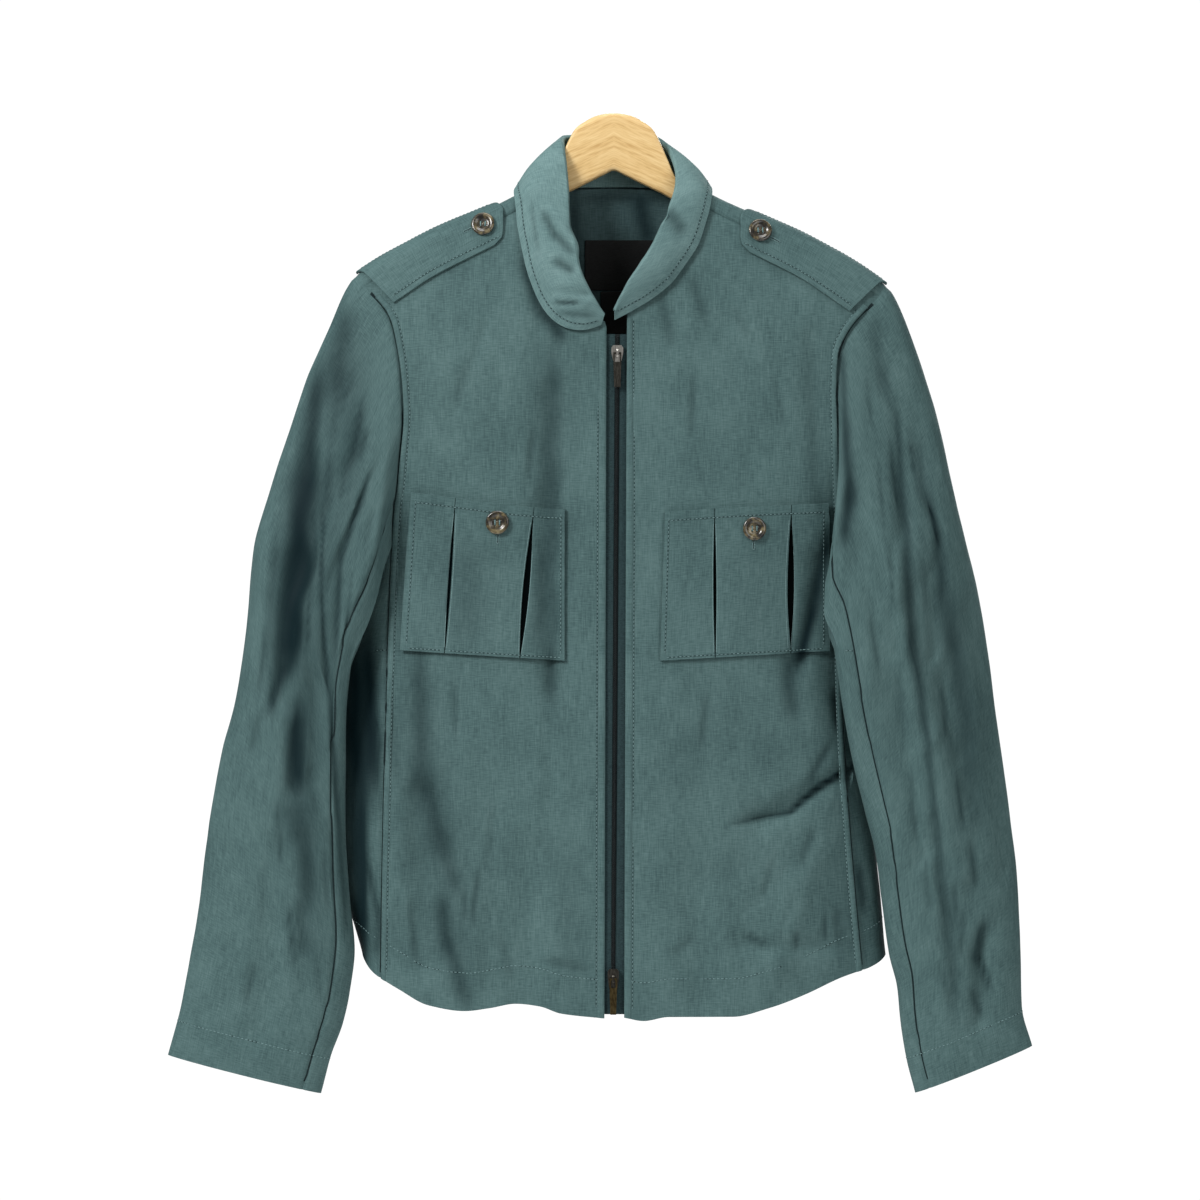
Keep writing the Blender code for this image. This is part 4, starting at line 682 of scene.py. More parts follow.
# Short rows across the side panels at the waist, from x to x
SIDE_TACKS = ((-169, -179), (172, 178))
BUTTONHOLE = 7
BUTTONHOLE_STEP = 0.55
SEAM_STITCH = 5.6
ZIP_STITCH = 6.2
COLLAR_STITCH = 5.6
STRAP_STITCH = 5.2
# Raised band beside a seam: distance from the seam, height
SEAM_BAND = ((0.05, -0.7), (0.25, 0.35), (0.9, 0.8), (2.4, 0.95), (3.9, 0.8), (4.8, 0.3), (5.4, -0.4))
ZIP_BAND = ((0, -0.9), (0.12, -0.1), (0.6, 0.35), (1.8, 0.55), (3.8, 0.5), (5.2, 0.2), (5.9, -0.4))

CAMERA = Vector((-10.5, -4000, -367.5))
PICTURE_WIDTH = 900
CLOTH_PLANE = -30
SENSOR = 36

RINGS = {}
GRIDS = {}

# Finer counts of the straps, pockets, zip, buttons and hanger
STRAP_ROWS = 60
STRAP_COLUMNS = 24
POCKET_FINE_ROWS = 60
POCKET_CELLS = 14
POCKET_HEM_PART = 0.935
SLIT_ROUND = 0.6
SLIT_FLOOR = 1.1
SLIT_HIGH = 1.35
SLIT_SHARES = (0.75, 1.25)
LIP_WIDTH = 0.45
POCKET_TROUGH = 0.5
POCKET_DRAPE = 0.25
POCKET_SIDE_X = 160
RIBBON_STEP = 1.6
POCKET_STITCH_LOW = 2.2
POCKET_STITCH_SIDE = 3.4
ZIP_FINE_ROWS = 120
TAPE_COLUMNS = 12
TAPE_CORD = 0.25
TAPE_CORD_AT = 4.2
TOOTH_STEP = 0.85
TOOTH_RADIUS = 0.48
TOOTH_LENGTH = 2.3
TOOTH_SHIFT = 0.45
TOOTH_SLOPE = 0.12
COIL_SIDE = 1.25
COIL_SIDE_RADIUS = 0.36
COIL_BED_ROWS = 60
BUTTON_FINE_SIDES = 48
BUTTON_HOLE = 0.75
BUTTON_HOLE_AT = 1.75
# Part of the radius, height above the cloth
BUTTON_FINE = (
    (0, 1.7), (0.42, 1.72), (0.52, 1.85), (0.60, 2.35), (0.68, 2.75), (0.78, 2.98), (0.88, 2.95),
    (0.95, 2.7), (1, 2.1), (0.99, 1.4), (0.93, 0.8), (0.75, 0.05), (0, 0),
)
HANGER_SIDES = 36
# How square the hanger's section is, across and up
HANGER_SQUARE = (0.42, 0.16)
GRAIN_SLOPE = 24

# Stage: floor, lights as place, size and power, and the white behind
FLOOR_Z = -1000
FLOOR_RADIUS = 1100
FLOOR_SIDES = 64
LIGHT_AIM = Vector((0, 0, -0.35))
LIGHTS = (
    ("key", (-2, -1.9, 1.3), (1, 1), 95),
    ("fill", (1.8, -2.6, 0.4), (2, 2), 33),
    ("top", (0, -0.4, 2.2), (1.6, 1), 34),
    ("back", (0.8, 2.6, 0.8), (2, 1.6), 60),
)
AMBIENT = 0.24
BACKDROP = 1.3

# The cut of the cloth that shows: flat width, length and area in metres,
# how it is held, what it hangs from or lies on, and the folded edges cut in one with it
Sheet = namedtuple("Sheet", "name width length area held rests_on trim")
SHEETS = rows_of(
    Sheet,
    ("back_cloth", 0.392, 0.666, 0.2080, "hung", "hanger_wood", ""),
    ("front_left_cloth", 0.183, 0.615, 0.0940, "hung", "back_cloth", "seam_band_left zip_band_left"),
    ("front_right_cloth", 0.192, 0.617, 0.0965, "hung", "back_cloth", "seam_band_right zip_band_right"),
    ("side_left_cloth", 0.104, 0.303, 0.0258, "hung", "front_left_cloth", ""),
    ("side_right_cloth", 0.071, 0.299, 0.0160, "hung", "front_right_cloth", ""),
    ("sleeve_top_left_cloth", 0.275, 0.606, 0.0810, "hung", "front_left_cloth", ""),
    ("sleeve_top_right_cloth", 0.272, 0.583, 0.0795, "hung", "front_right_cloth", ""),
    ("sleeve_under_left_cloth", 0.220, 0.416, 0.0585, "hung", "sleeve_top_left_cloth", ""),
    ("sleeve_under_right_cloth", 0.217, 0.418, 0.0585, "hung", "sleeve_top_right_cloth", ""),
    ("collar_cloth", 0.470, 0.100, 0.0285, "folded", "back_cloth", ""),
    ("epaulette_left_cloth", 0.060, 0.106, 0.0052, "laid", "front_left_cloth", ""),
    ("epaulette_right_cloth", 0.060, 0.107, 0.0052, "laid", "front_right_cloth", ""),
    ("pocket_left_cloth", 0.133, 0.119, 0.0150, "laid", "front_left_cloth", ""),
    ("pocket_right_cloth", 0.138, 0.112, 0.0152, "laid", "front_right_cloth", ""),
    ("zip_tape_left_cloth", 0.0135, 0.509, 0.0068, "hung", "front_left_cloth", ""),
    ("zip_tape_right_cloth", 0.0135, 0.509, 0.0068, "hung", "front_right_cloth", ""),
    ("neck_label_cloth", 0.053, 0.038, 0.0020, "laid", "back_cloth", ""),
    ("size_label_cloth", 0.032, 0.032, 0.0010, "laid", "back_cloth", ""),
)


def curve(table, at, column=1):
    """Smooth value of a column at a place along the first column."""
    rows = sorted(table)
    keys = [row[0] for row in rows]
    values = [row[column] for row in rows]
    if at <= keys[0]:
        return values[0]
    if at >= keys[-1]:
        return values[-1]
    k = bisect.bisect_right(keys, at) - 1
    step = keys[k + 1] - keys[k]
    u = (at - keys[k]) / step
    m0 = slope(keys, values, k) * step
    m1 = slope(keys, values, k + 1) * step
    a = values[k]
    b = values[k + 1]
    return (
        a * (1 + 2 * u) * (1 - u) ** 2
        + m0 * u * (1 - u) ** 2
        + b * u * u * (3 - 2 * u)
        + m1 * u * u * (u - 1)
    )


def slope(keys, values, k):
    """Slope at a row that lets the curve rise and fall only where the rows do."""
    last = len(keys) - 1
    before = (values[k] - values[k - 1]) / (keys[k] - keys[k - 1]) if k > 0 else None
    after = (values[k + 1] - values[k]) / (keys[k + 1] - keys[k]) if k < last else None
    if before is None:
        return after
    if after is None:
        return before
    if before * after <= 0:
        return 0.0
    return 2 * before * after / (before + after)


def mix(a, b, t):
    return a + (b - a) * t


def smoothstep(t):
    t = min(max(t, 0.0), 1.0)
    return t * t * (3 - 2 * t)


def side_of(x):
    return LEFT if x < 0 else RIGHT


def line_distance(x, z, x0, z0, x1, z1):
    """Distance from a point to a straight stretch."""
    dx = x1 - x0
    dz = z1 - z0
    t = ((x - x0) * dx + (z - z0) * dz) / (dx * dx + dz * dz)
    t = min(max(t, 0.0), 1.0)
    return math.hypot(x - x0 - dx * t, z - z0 - dz * t)


def fold_height(folds, x, z):
    total = 0.0
    for fold in folds:
        away = line_distance(x, z, fold.x0, fold.z0, fold.x1, fold.z1)
        total += fold.height * math.exp(-((away / fold.width) ** 2))
    return total


def ridge_z(x, behind=False):
    """Height of the shoulder ridge, carried across the neck."""
    rise = 0.0
    if behind and abs(x) < NECK_HALF:
        rise = NECK_RISE_BACK * (1 - (x / NECK_HALF) ** 2)
    return curve(RIDGE, abs(x)) + rise


def ridge_round(t):
    """Half thickness of the cloth over the hanger, t below the ridge."""
    if t >= RIDGE_RADIUS:
        return RIDGE_RADIUS
    t = max(t, 0.0)
    return math.sqrt(RIDGE_RADIUS ** 2 - (RIDGE_RADIUS - t) ** 2)


def swell(x, z, behind):
    """Depth of the body on its centre line at the height of a point."""
    t = max(ridge_z(x, behind) - z, 0.0)
    depth = curve(BACK_DEPTH if behind else FRONT_DEPTH, z)
    return ridge_round(t) + depth * (1 - math.exp(-t / SHOULDER_FALL))


def fullness(x, z):
    """How much of the depth is left at a distance from the centre line."""
    part = min(abs(x) / curve(side_of(x).half_width, z), 1.0)
    return math.sqrt(1 - part ** 3)


def front_y(x, z):
    return -(swell(x, z, False) + fold_height(FRONT_FOLDS, x, z)) * fullness(x, z)


def back_y(x, z):
    return (swell(x, z, True) + fold_height(BACK_FOLDS, x, z)) * fullness(x, z)


def front_point(x, z):
    return Vector((x, front_y(x, z), z))


def back_point(x, z):
    return Vector((x, back_y(x, z), z))


def wall_normal(y_of, x, z, step):
    """Direction to the front, square to a wall whose depth is y_of."""
    along_x = (y_of(x + step, z) - y_of(x - step, z)) / (2 * step)
    along_z = (y_of(x, z + step) - y_of(x, z - step)) / (2 * step)
    return Vector((along_x, -1.0, along_z)).normalized()


def front_normal(x, z, step=1.0):
    return wall_normal(front_y, x, z, step)


def back_normal(x, z, step=1.0):
    return -wall_normal(back_y, x, z, step)


def on_front(x, z, lift):
    return front_point(x, z) + front_normal(x, z) * lift


def over_shoulder(x, arc):
    """Point at a length of arc from the ridge, to the front (+) or the back (-)."""
    quarter = RIDGE_RADIUS * math.pi / 2
    length = abs(arc)
    if length < quarter:
        below = RIDGE_RADIUS * (1 - math.cos(length / RIDGE_RADIUS))
    else:
        below = RIDGE_RADIUS + length - quarter
    z = ridge_z(x, arc < 0) - below
    if arc < 0:
        return back_point(x, z)
    return front_point(x, z)


def shoulder_normal(x, arc, step=1.0):
    along_x = over_shoulder(x + step, arc) - over_shoulder(x - step, arc)
    along_arc = over_shoulder(x, arc + step) - over_shoulder(x, arc - step)
    normal = along_x.cross(along_arc).normalized()
    return normal if normal.z - normal.y > 0 or arc < 0 and normal.z > 0 else -normal


def spot(point):
    return (round(point.x, 2), round(point.y, 2), round(point.z, 2))


def face_vector(corners):
    """Vector square to a face, as long as twice its area."""
    a, b, c, d = corners
    return (c - a).cross(d - b)


def rim_edges(faces):
    """Directed edges that only one face has."""
    used = {(a, b): True for face in faces for a, b in zip(face, face[1:] + face[:1])}
    return [edge for edge in used if (edge[1], edge[0]) not in used]


def arm_top_x(side, arc):
    return side.arm_top - ARM_TOP_SLOPE * abs(arc)


def shoulder_row(side, arc):
    """Points across the shoulder, from the neck to the armhole."""
    row = []
    for k in range(SHOULDER_COLUMNS + 1):
        x = mix(NECK_HALF, arm_top_x(side, arc), k / SHOULDER_COLUMNS)
        row.append(over_shoulder(side.sign * x, arc))
    return row


def lower_rows(columns, first_x, last_x, hem, ends, point_of):
    """Rows of a panel, from the hem up to the foot of the armhole."""
    rows = []
    for i in range(LOWER_ROWS + 1):
        row = []
        for j in range(columns + 1):
            s = j / columns
            z = mix(curve(hem, abs(mix(*ends, s))), JUNCTION_Z, i / LOWER_ROWS)
            row.append(point_of(mix(first_x(z), last_x(z), s), z))
        rows.append(row)
    return rows


def edge_line(x_of, top):
    """Places (x, z) up an edge, from the foot of the armhole to a top place."""
    line = []
    for i in range(UPPER_ROWS):
        z = mix(JUNCTION_Z, top[1], i / UPPER_ROWS)
        line.append((x_of(z), z))
    return line + [top]


def patch_between(bottom, top, left, right):
    """Rows that fill a four-sided outline of (x, z) points, without its bottom row."""
    rows = []
    last = len(bottom) - 1
    for i in range(1, len(left)):
        v = i / (len(left) - 1)
        row = []
        for j in range(last + 1):
            s = j / last
            place = [0.0, 0.0]
            for axis in (0, 1):
                ruled = mix(bottom[j][axis], top[j][axis], v) + mix(left[i][axis], right[i][axis], s)
                low = mix(bottom[0][axis], bottom[-1][axis], s)
                high = mix(top[0][axis], top[-1][axis], s)
                place[axis] = ruled - mix(low, high, v)
            row.append(tuple(place))
        rows.append(row)
    return rows


def flat(point):
    return (point.x, point.z)


def neckline_row(side):
    """Front neckline, from the centre edge to the shoulder seam."""
    row = []
    first = side.neckline[0][0]
    for k in range(NECK_COLUMNS_FRONT):
        part = k / NECK_COLUMNS_FRONT
        x = mix(first, NECK_HALF, 1 - (1 - part) ** 1.6)
        row.append((side.sign * x, curve(side.neckline, x)))
    return row


def front_rows(side):
    """All the rows of a front panel, from the hem to the neck and shoulder."""

    def centre_x(z):
        return side.sign * curve(side.centre_edge, z)

    def seam_x(z):
        return side.sign * curve(side.seam, z)

    ends = (centre_x(HEM_CENTRE_Z), seam_x(HEM_SEAM_Z))
    rows = lower_rows(NECK_COLUMNS_FRONT + SHOULDER_COLUMNS, centre_x, seam_x, side.hem, ends, front_point)
    seam_row = shoulder_row(side, SHOULDER_SEAM_ARC)
    top = neckline_row(side) + [flat(point) for point in seam_row]
    bottom = [flat(point) for point in rows[-1]]
    left = edge_line(centre_x, top[0])
    right = edge_line(lambda z: side.sign * curve(side.arm_front, z), top[-1])
    for row in patch_between(bottom, top, left, right):
        rows.append([front_point(x, z) for x, z in row])
    rows[-1][NECK_COLUMNS_FRONT:] = seam_row
    return rows


def back_seam_x(side, z):
    return curve(side.seam, z) - BACK_SEAM_INSET


def back_rows():
    """Rows of the back panel, from the hem to the neck and the top of the shoulders."""

    def left_x(z):
        return -back_seam_x(LEFT, z)

    def right_x(z):
        return back_seam_x(RIGHT, z)

    ends = (left_x(HEM_SEAM_Z), right_x(HEM_SEAM_Z))
    rows = lower_rows(2 * SHOULDER_COLUMNS + NECK_COLUMNS_BACK, left_x, right_x, BACK_HEM, ends, back_point)
    left_shoulder = list(reversed(shoulder_row(LEFT, WRAP_ARCS[0])))
    right_shoulder = shoulder_row(RIGHT, WRAP_ARCS[0])
    neck = []
    for k in range(1, NECK_COLUMNS_BACK):
        x = mix(-NECK_HALF, NECK_HALF, k / NECK_COLUMNS_BACK)
        neck.append((x, mix(BACK_NECK_Z, right_shoulder[0].z, (x / NECK_HALF) ** 2)))
    top = [flat(point) for point in left_shoulder] + neck + [flat(point) for point in right_shoulder]
    bottom = [flat(point) for point in rows[-1]]
    left = edge_line(lambda z: -curve(LEFT.arm_back, z), top[0])
    right = edge_line(lambda z: curve(RIGHT.arm_back, z), top[-1])
    for row in patch_between(bottom, top, left, right):
        rows.append([back_point(x, z) for x, z in row])
    rows[-1][: SHOULDER_COLUMNS + 1] = left_shoulder
    rows[-1][-SHOULDER_COLUMNS - 1:] = right_shoulder
    return rows


def side_rows(side, fronts, backs):
    """Rows of a side panel, from the front seam round to the back seam."""
    rows = []
    for i, (first, last) in enumerate(zip(fronts, backs)):
        row = [first]
        for c in range(1, SIDE_COLUMNS):
            part = c / SIDE_COLUMNS
            dip = ARMPIT_DIP * math.sin(math.pi * part) ** 2
            edge_z = mix(fronts[0].z, backs[0].z, part)
            edge_z += side_hem_rise(side, fronts[0].z, backs[0].z, part)
            z = mix(edge_z, JUNCTION_Z - dip, i / LOWER_ROWS)
            row.append(side_point(side, first, last, part, z))
        rows.append(row + [last])
    return rows


def side_hem_rise(side, front_z, back_z, part):
    """The hem climbs to its highest place at the very side."""
    corner = side.hem[-1][1]
    lift = corner - mix(front_z, back_z, 0.5)
    return lift * math.sin(math.pi * part) ** 1.2


def side_point(side, first, last, part, z):
    """A place round the side, as wide as the body is where it has that depth."""
    behind = part > 0.5
    seam = last if behind else first
    depth = seam.y * abs(2 * part - 1)
    ratio = min(abs(depth) / swell(seam.x, z, behind), 1.0)
    x = curve(side.half_width, z) * (1 - ratio ** 2) ** (1 / 3)
    return Vector((side.sign * x, depth, z))


def armhole_loop(side, fronts, sides, backs, wraps):
    """Points round an armhole, from the shoulder point down the front and up the back."""
    loop = wraps[2 * FINE:]
    loop += [row[-1] for row in reversed(fronts[LOWER_ROWS:-1])]
    loop += sides[-1][1:]
    edge = -1 if side.sign > 0 else 0
    loop += [row[edge] for row in backs[LOWER_ROWS + 1:-1]]
    loop += wraps[: 2 * FINE]
    return loop


def sleeve_axis(side, v):
    """Outer and inner points of a sleeve, a part v of the way down."""
    outer_z = mix(*side.sleeve_outer_z, v)
    inner_z = mix(*side.sleeve_inner_z, v)
    outer = Vector((side.sign * curve(side.sleeve_outer, outer_z), curve(side.outer_y, outer_z), outer_z))
    inner = Vector((side.sign * curve(side.sleeve_inner, inner_z), curve(side.inner_y, inner_z), inner_z))
    return outer, inner


def crease_height(creases, s, turn):
    total = 0.0
    scale = CREASE_MM_PER_DEGREE
    for crease in creases:
        start = (crease.s0, crease.turn0 * scale)
        end = (crease.s1, crease.turn1 * scale)
        away = line_distance(s, turn * scale, *start, *end)
        total += crease.height * math.exp(-((away / crease.width) ** 2))
    return total


def under_part(turn):
    """1 where the sleeve hangs beside the body under the arm, 0 elsewhere."""
    return math.exp(-(((turn - UNDER_TURN) / UNDER_SPREAD) ** 2))


def carried_move(side, outer_move, inner_move, turn):
    """How far a point of the armhole travels down the sleeve before it takes its own ring."""
    away = Vector((side.sign * max(side.sign * inner_move.x, 0.0), 0.0, inner_move.z))
    behind = smoothstep((turn - 170.0) / 60.0)
    inner_part = mix(inner_move, away, behind)
    return mix(inner_part, outer_move, (1 + math.cos(math.radians(turn))) / 2)


def clear_of_body(point, margin):
    """Move a point straight out of the body until it is a margin away from it."""
    for _ in range(3):
        half = curve(side_of(point.x).half_width, point.z)
        depth = swell(point.x, point.z, point.y > 0)
        level = (abs(point.x) / half) ** 3 + (point.y / depth) ** 2 - 1
        steep = Vector((math.copysign(3 * point.x ** 2 / half ** 3, point.x), 2 * point.y / depth ** 2, 0.0))
        away = level / steep.length
        if away >= margin:
            break
        point = point + steep.normalized() * (margin - away)
    return point


def sleeve_rows(side, loop, creases):
    """Rings of a sleeve, from the armhole to the cuff."""
    rings = [list(loop)]
    table = [(FINE * k, turn) for k, turn in enumerate(ARMHOLE_TURNS + (360.0,))]
    turns = [curve(table, k) for k in range(len(loop))]
    outer_0, inner_0 = sleeve_axis(side, 0.0)
    for i in range(1, SLEEVE_RINGS + 1):
        v = i / SLEEVE_RINGS
        outer, inner = sleeve_axis(side, v)
        centre = (outer + inner) / 2
        half = (outer - inner) / 2
        depth = curve(SLEEVE_DEPTH, v)
        ring = []
        for k, turn in enumerate(turns):
            angle = math.radians(turn)
            blend = smoothstep(v / mix(SLEEVE_HEAD, UNDER_HEAD, under_part(turn)))
            own = centre + half * math.cos(angle) + Vector((0.0, -depth * math.sin(angle), 0.0))
            carried = loop[k] + carried_move(side, outer - outer_0, inner - inner_0, turn)
            point = mix(carried, own, blend)
            point.z = mix(carried.z, own.z, smoothstep(v / SLEEVE_LEVEL))
            fold = crease_height(creases, v * SLEEVE_LENGTH, turn) * smoothstep(v * 8)
            point += (point - centre).normalized() * fold
            if point.z < loop[k].z and JUNCTION_Z > point.z > SLEEVE_FREE_Z:
                point = clear_of_body(point, min(SLEEVE_CLEAR, 0.2 * (loop[k].z - point.z)))
            ring.append(point)
        rings.append(ring)
    return rings


def body_place(x, z, on):
    """Point and outward direction on the front, the ridge or the back."""
    if on < 0:
        return front_point(x, z), front_normal(x, z)
    if on > 0:
        return back_point(x, z), back_normal(x, z)
    top = Vector((x, 0.0, z))
    return top, Vector((math.copysign(0.5, x), 0.0, 0.86))


def collar_section(station, before, after):
    """Points across the collar: outer edge, fall, roll, stand and neck seam."""
    base, normal = body_place(station.edge_x, station.edge_z, station.edge_on)
    edge = base + normal * COLLAR_LIFT
    neck = body_place(station.neck_x, station.neck_z, station.neck_on)[0]
    roll = Vector((station.roll_x, station.roll_y, station.roll_z))
    along = Vector((after.roll_x - before.roll_x, after.roll_y - before.roll_y, after.roll_z - before.roll_z))
    down = (edge - roll).normalized()
    out = down.cross(along).normalized()
    if out.dot(normal) < 0:
        out = -out
    length = (edge - roll).length
    size = mix(COLLAR_ROLL_FRONT, COLLAR_ROLL, smoothstep((length - 8) / 30))
    bulge = COLLAR_BULGE * smoothstep((length - 6) / 40)
    middle = roll + down * size
    fall_top = middle + out * size
    stand_top = middle - out * size
    slant = size * math.sqrt(0.5)
    return [
        edge,
        mix(edge, fall_top, COLLAR_LOW_FALL) + out * bulge,
        mix(edge, fall_top, COLLAR_HIGH_FALL) + out * bulge * COLLAR_HIGH_SHARE,
        fall_top,
        middle + (out - down) * slant,
        roll,
        middle - (out + down) * slant,
        mix(stand_top, neck, COLLAR_STAND_TOP),
        mix(stand_top, neck, COLLAR_STAND_MIDDLE),
        neck,
    ]


def zip_x(z):
    return curve(ZIP_LINE, z)


class Look:
    """A material and short ways to add nodes to it."""

    def __init__(self, name, roughness, metallic=0.0, specular=0.5):
        self.material = bpy.data.materials.new(name)
        self.material.use_nodes = True
        self.tree = self.material.node_tree
        self.shader = self.tree.nodes["Principled BSDF"]
        self.put(self.shader, ("Roughness", roughness), ("Metallic", metallic))
        self.put(self.shader, ("Specular IOR Level", specular))

    def put(self, node, *values):
        for key, value in values:
            node.inputs[key].default_value = value

    def node(self, kind, **values):
        made = self.tree.nodes.new("ShaderNode" + kind)
        for key, value in values.items():
            setattr(made, key, value)
        return made

    def link(self, a, b):
        self.tree.links.new(a, b)

    def noise(self, source, scale, rotate=(0.0, 0.0, 0.0), shift=(0.0, 0.0, 0.0), detail=2.0, rough=0.5):
        """Noise stretched by a scale of its own along each axis."""
        if any(rotate):
            turned = self.node("Mapping")
            self.put(turned, ("Rotation", rotate))
            self.link(source, turned.inputs["Vector"])
            source = turned.outputs["Vector"]
        mapping = self.node("Mapping")
        self.put(mapping, ("Scale", scale), ("Location", shift))
        self.link(source, mapping.inputs["Vector"])
        made = self.node("TexNoise")
        self.put(made, ("Scale", 1.0), ("Detail", detail), ("Roughness", rough))
        self.link(mapping.outputs["Vector"], made.inputs["Vector"])
        return made.outputs["Fac"]

    def math(self, operation, a, b):
        made = self.node("Math", operation=operation)
        for socket, value in zip(made.inputs, (a, b)):
            if isinstance(value, float):
                socket.default_value = value
            else:
                self.link(value, socket)
        return made.outputs[0]

    def blend(self, *parts):
        """The sum of sockets, each times its share."""
        total = None
        for socket, share in parts:
            scaled = self.math("MULTIPLY", socket, share)
            total = self.math("ADD", total, scaled) if total else scaled
        return total

    def ramp(self, fac, *stops):
        """The base colour, from stops of place and colour."""
        made = self.node("ValToRGB")
        elements = made.color_ramp.elements
        while len(elements) < len(stops):
            elements.new(0.5)
        for element, (place, colour) in zip(elements, stops):
            element.position = place
            element.color = (*colour, 1.0)
        self.link(fac, made.inputs["Fac"])
        self.colour(made.outputs["Color"])
        return made.outputs["Color"]

    def bump(self, height, strength, distance):
        made = self.node("Bump")
        self.put(made, ("Strength", strength), ("Distance", distance))
        self.link(height, made.inputs["Height"])
        self.link(made.outputs["Normal"], self.shader.inputs["Normal"])

    def colour(self, socket):
        self.link(socket, self.shader.inputs["Base Color"])

    def coat(self, weight, roughness):
        self.put(self.shader, ("Coat Weight", weight), ("Coat Roughness", roughness))


def linen_look(name, deep, middle, light, sheen=0.03, roughness=0.7, specular=0.12):
    """Plain weave of linen and viscose, with slubs along both threads."""
    look = Look(name, roughness, 0.0, specular)
    grain = look.node("UVMap", uv_map="grain").outputs["UV"]
    weft = look.noise(grain, (150.0, 1150.0, 1.0), detail=3.0)
    warp = look.noise(grain, (1250.0, 85.0, 1.0), shift=(3.0, 7.0, 0.0), detail=3.0)
    slub = look.noise(grain, (420.0, 40.0, 1.0), shift=(9.0, 1.0, 0.0), detail=1.0)
    broad = look.noise(grain, (22.0, 14.0, 1.0), shift=(5.0, 2.0, 0.0))
    smudge = look.noise(grain, (70.0, 34.0, 1.0), shift=(2.0, 6.0, 0.0))
    threads = look.blend((weft, 0.36), (warp, 0.33), (slub, 0.10), (broad, 0.26), (smudge, 0.14))
    woven = look.ramp(threads, (0.45, deep), (0.595, middle), (0.74, light))
    # Painted shade: the fold attribute mixes the weave towards the painted fold shade colour
    shaded = look.node("MixRGB")
    look.link(look.node("Attribute", attribute_name="fold").outputs["Fac"], shaded.inputs["Fac"])
    look.link(woven, shaded.inputs["Color1"])
    look.put(shaded, ("Color2", (*PAINTED_FOLD_SHADE, 1.0)))
    look.colour(shaded.outputs["Color"])
    look.put(look.shader, ("Sheen Weight", sheen), ("Sheen Roughness", 0.45), ("Sheen Tint", SHEEN_TINT))
    look.bump(look.math("ADD", weft, warp), 0.35, 0.0004)
    return look.material


def plain_cloth_look(name, colour, light, scale, roughness=0.85):
    """A dense woven cloth of one colour, such as a zip tape or a label."""
    look = Look(name, roughness, 0.0, 0.2)
    threads = look.noise(look.node("TexCoord").outputs["Object"], (scale * 0.2, scale, scale))
    look.ramp(threads, (0.35, colour), (0.65, light))
    look.bump(threads, 0.3, 0.0002)
    return look.material


def wood_look():
    """Pale beech, whose grain runs down each arm from the joint."""
    look = Look("beech_wood", 0.45, 0.0, 0.4)
    parts = look.node("SeparateXYZ")
    look.link(look.node("TexCoord").outputs["Object"], parts.inputs[0])
    joined = look.node("CombineXYZ")
    look.link(look.math("ABSOLUTE", parts.outputs["X"], 0.0), joined.inputs["X"])
    look.link(parts.outputs["Y"], joined.inputs["Y"])
    look.link(parts.outputs["Z"], joined.inputs["Z"])
    slope = (0.0, -math.radians(GRAIN_SLOPE), 0.0)
    grain = look.noise(joined.outputs[0], (26.0, 160.0, 420.0), slope, detail=3.0)
    flecks = look.noise(joined.outputs[0], (130.0, 900.0, 1500.0), slope, (2.0, 0.0, 0.0))
    both = look.blend((grain, 0.6), (flecks, 0.4))
    look.ramp(both, (0.36, (0.52, 0.32, 0.115)), (0.5, (0.66, 0.45, 0.195)), (0.66, (0.74, 0.54, 0.265)))
    look.bump(both, 0.15, 0.0003)
    look.coat(0.15, 0.35)
    return look.material


def horn_look():
    """Marbled horn, from near black to an olive beige."""
    look = Look("marbled_horn", 0.28)
    source = look.node("TexCoord").outputs["Object"]
    cloud = look.noise(source, (190.0, 190.0, 150.0), detail=3.0, rough=0.55)
    veins = look.noise(source, (420.0, 300.0, 700.0), shift=(4.0, 2.0, 1.0))
    look.ramp(
        look.blend((cloud, 0.75), (veins, 0.25)),
        (0.42, (0.008, 0.007, 0.005)), (0.50, (0.035, 0.027, 0.013)),
        (0.57, (0.095, 0.075, 0.034)), (0.69, (0.20, 0.165, 0.090)),
    )
    look.coat(0.4, 0.15)
    return look.material


def metal_look(name, dark, light, roughness):
    """Plated metal, a little worn."""
    look = Look(name, roughness, 1.0)
    source = look.node("TexCoord").outputs["Object"]
    look.ramp(look.noise(source, (900.0, 900.0, 300.0)), (0.35, dark), (0.65, light))
    look.bump(look.noise(source, (2500.0, 2500.0, 240.0), shift=(1.0, 2.0, 0.0)), 0.12, 0.0001)
    return look.material


# Colour of the shade painted at the bottom of the troughs
PAINTED_FOLD_SHADE = (0.001, 0.010, 0.013)
SHEEN_TINT = (0.62, 0.85, 0.9, 1.0)
LINEN = linen_look("linen_weave", (0.037, 0.072, 0.074), (0.063, 0.115, 0.115), (0.092, 0.156, 0.155))
# A lighter copy of the linen for the collar, which paints in the light that the collar catches
LINEN_COLLAR_LIT = linen_look("linen_collar", (0.070, 0.128, 0.129), (0.113, 0.192, 0.191), (0.152, 0.242, 0.239))
LINEN_INSIDE = linen_look("linen_inside", (0.028, 0.055, 0.058), (0.048, 0.088, 0.092), (0.070, 0.118, 0.122))
# Near black linen that paints the deep shade inside the pocket slits
LINEN_SHADE = linen_look(
    "linen_in_slit", (0.0005, 0.001, 0.001), (0.001, 0.0015, 0.0015), (0.0015, 0.002, 0.002), 0.0, 1.0, 0.0
)
THREAD = plain_cloth_look("sewing_thread", (0.085, 0.150, 0.152), (0.170, 0.270, 0.272), 3000.0, 0.6)
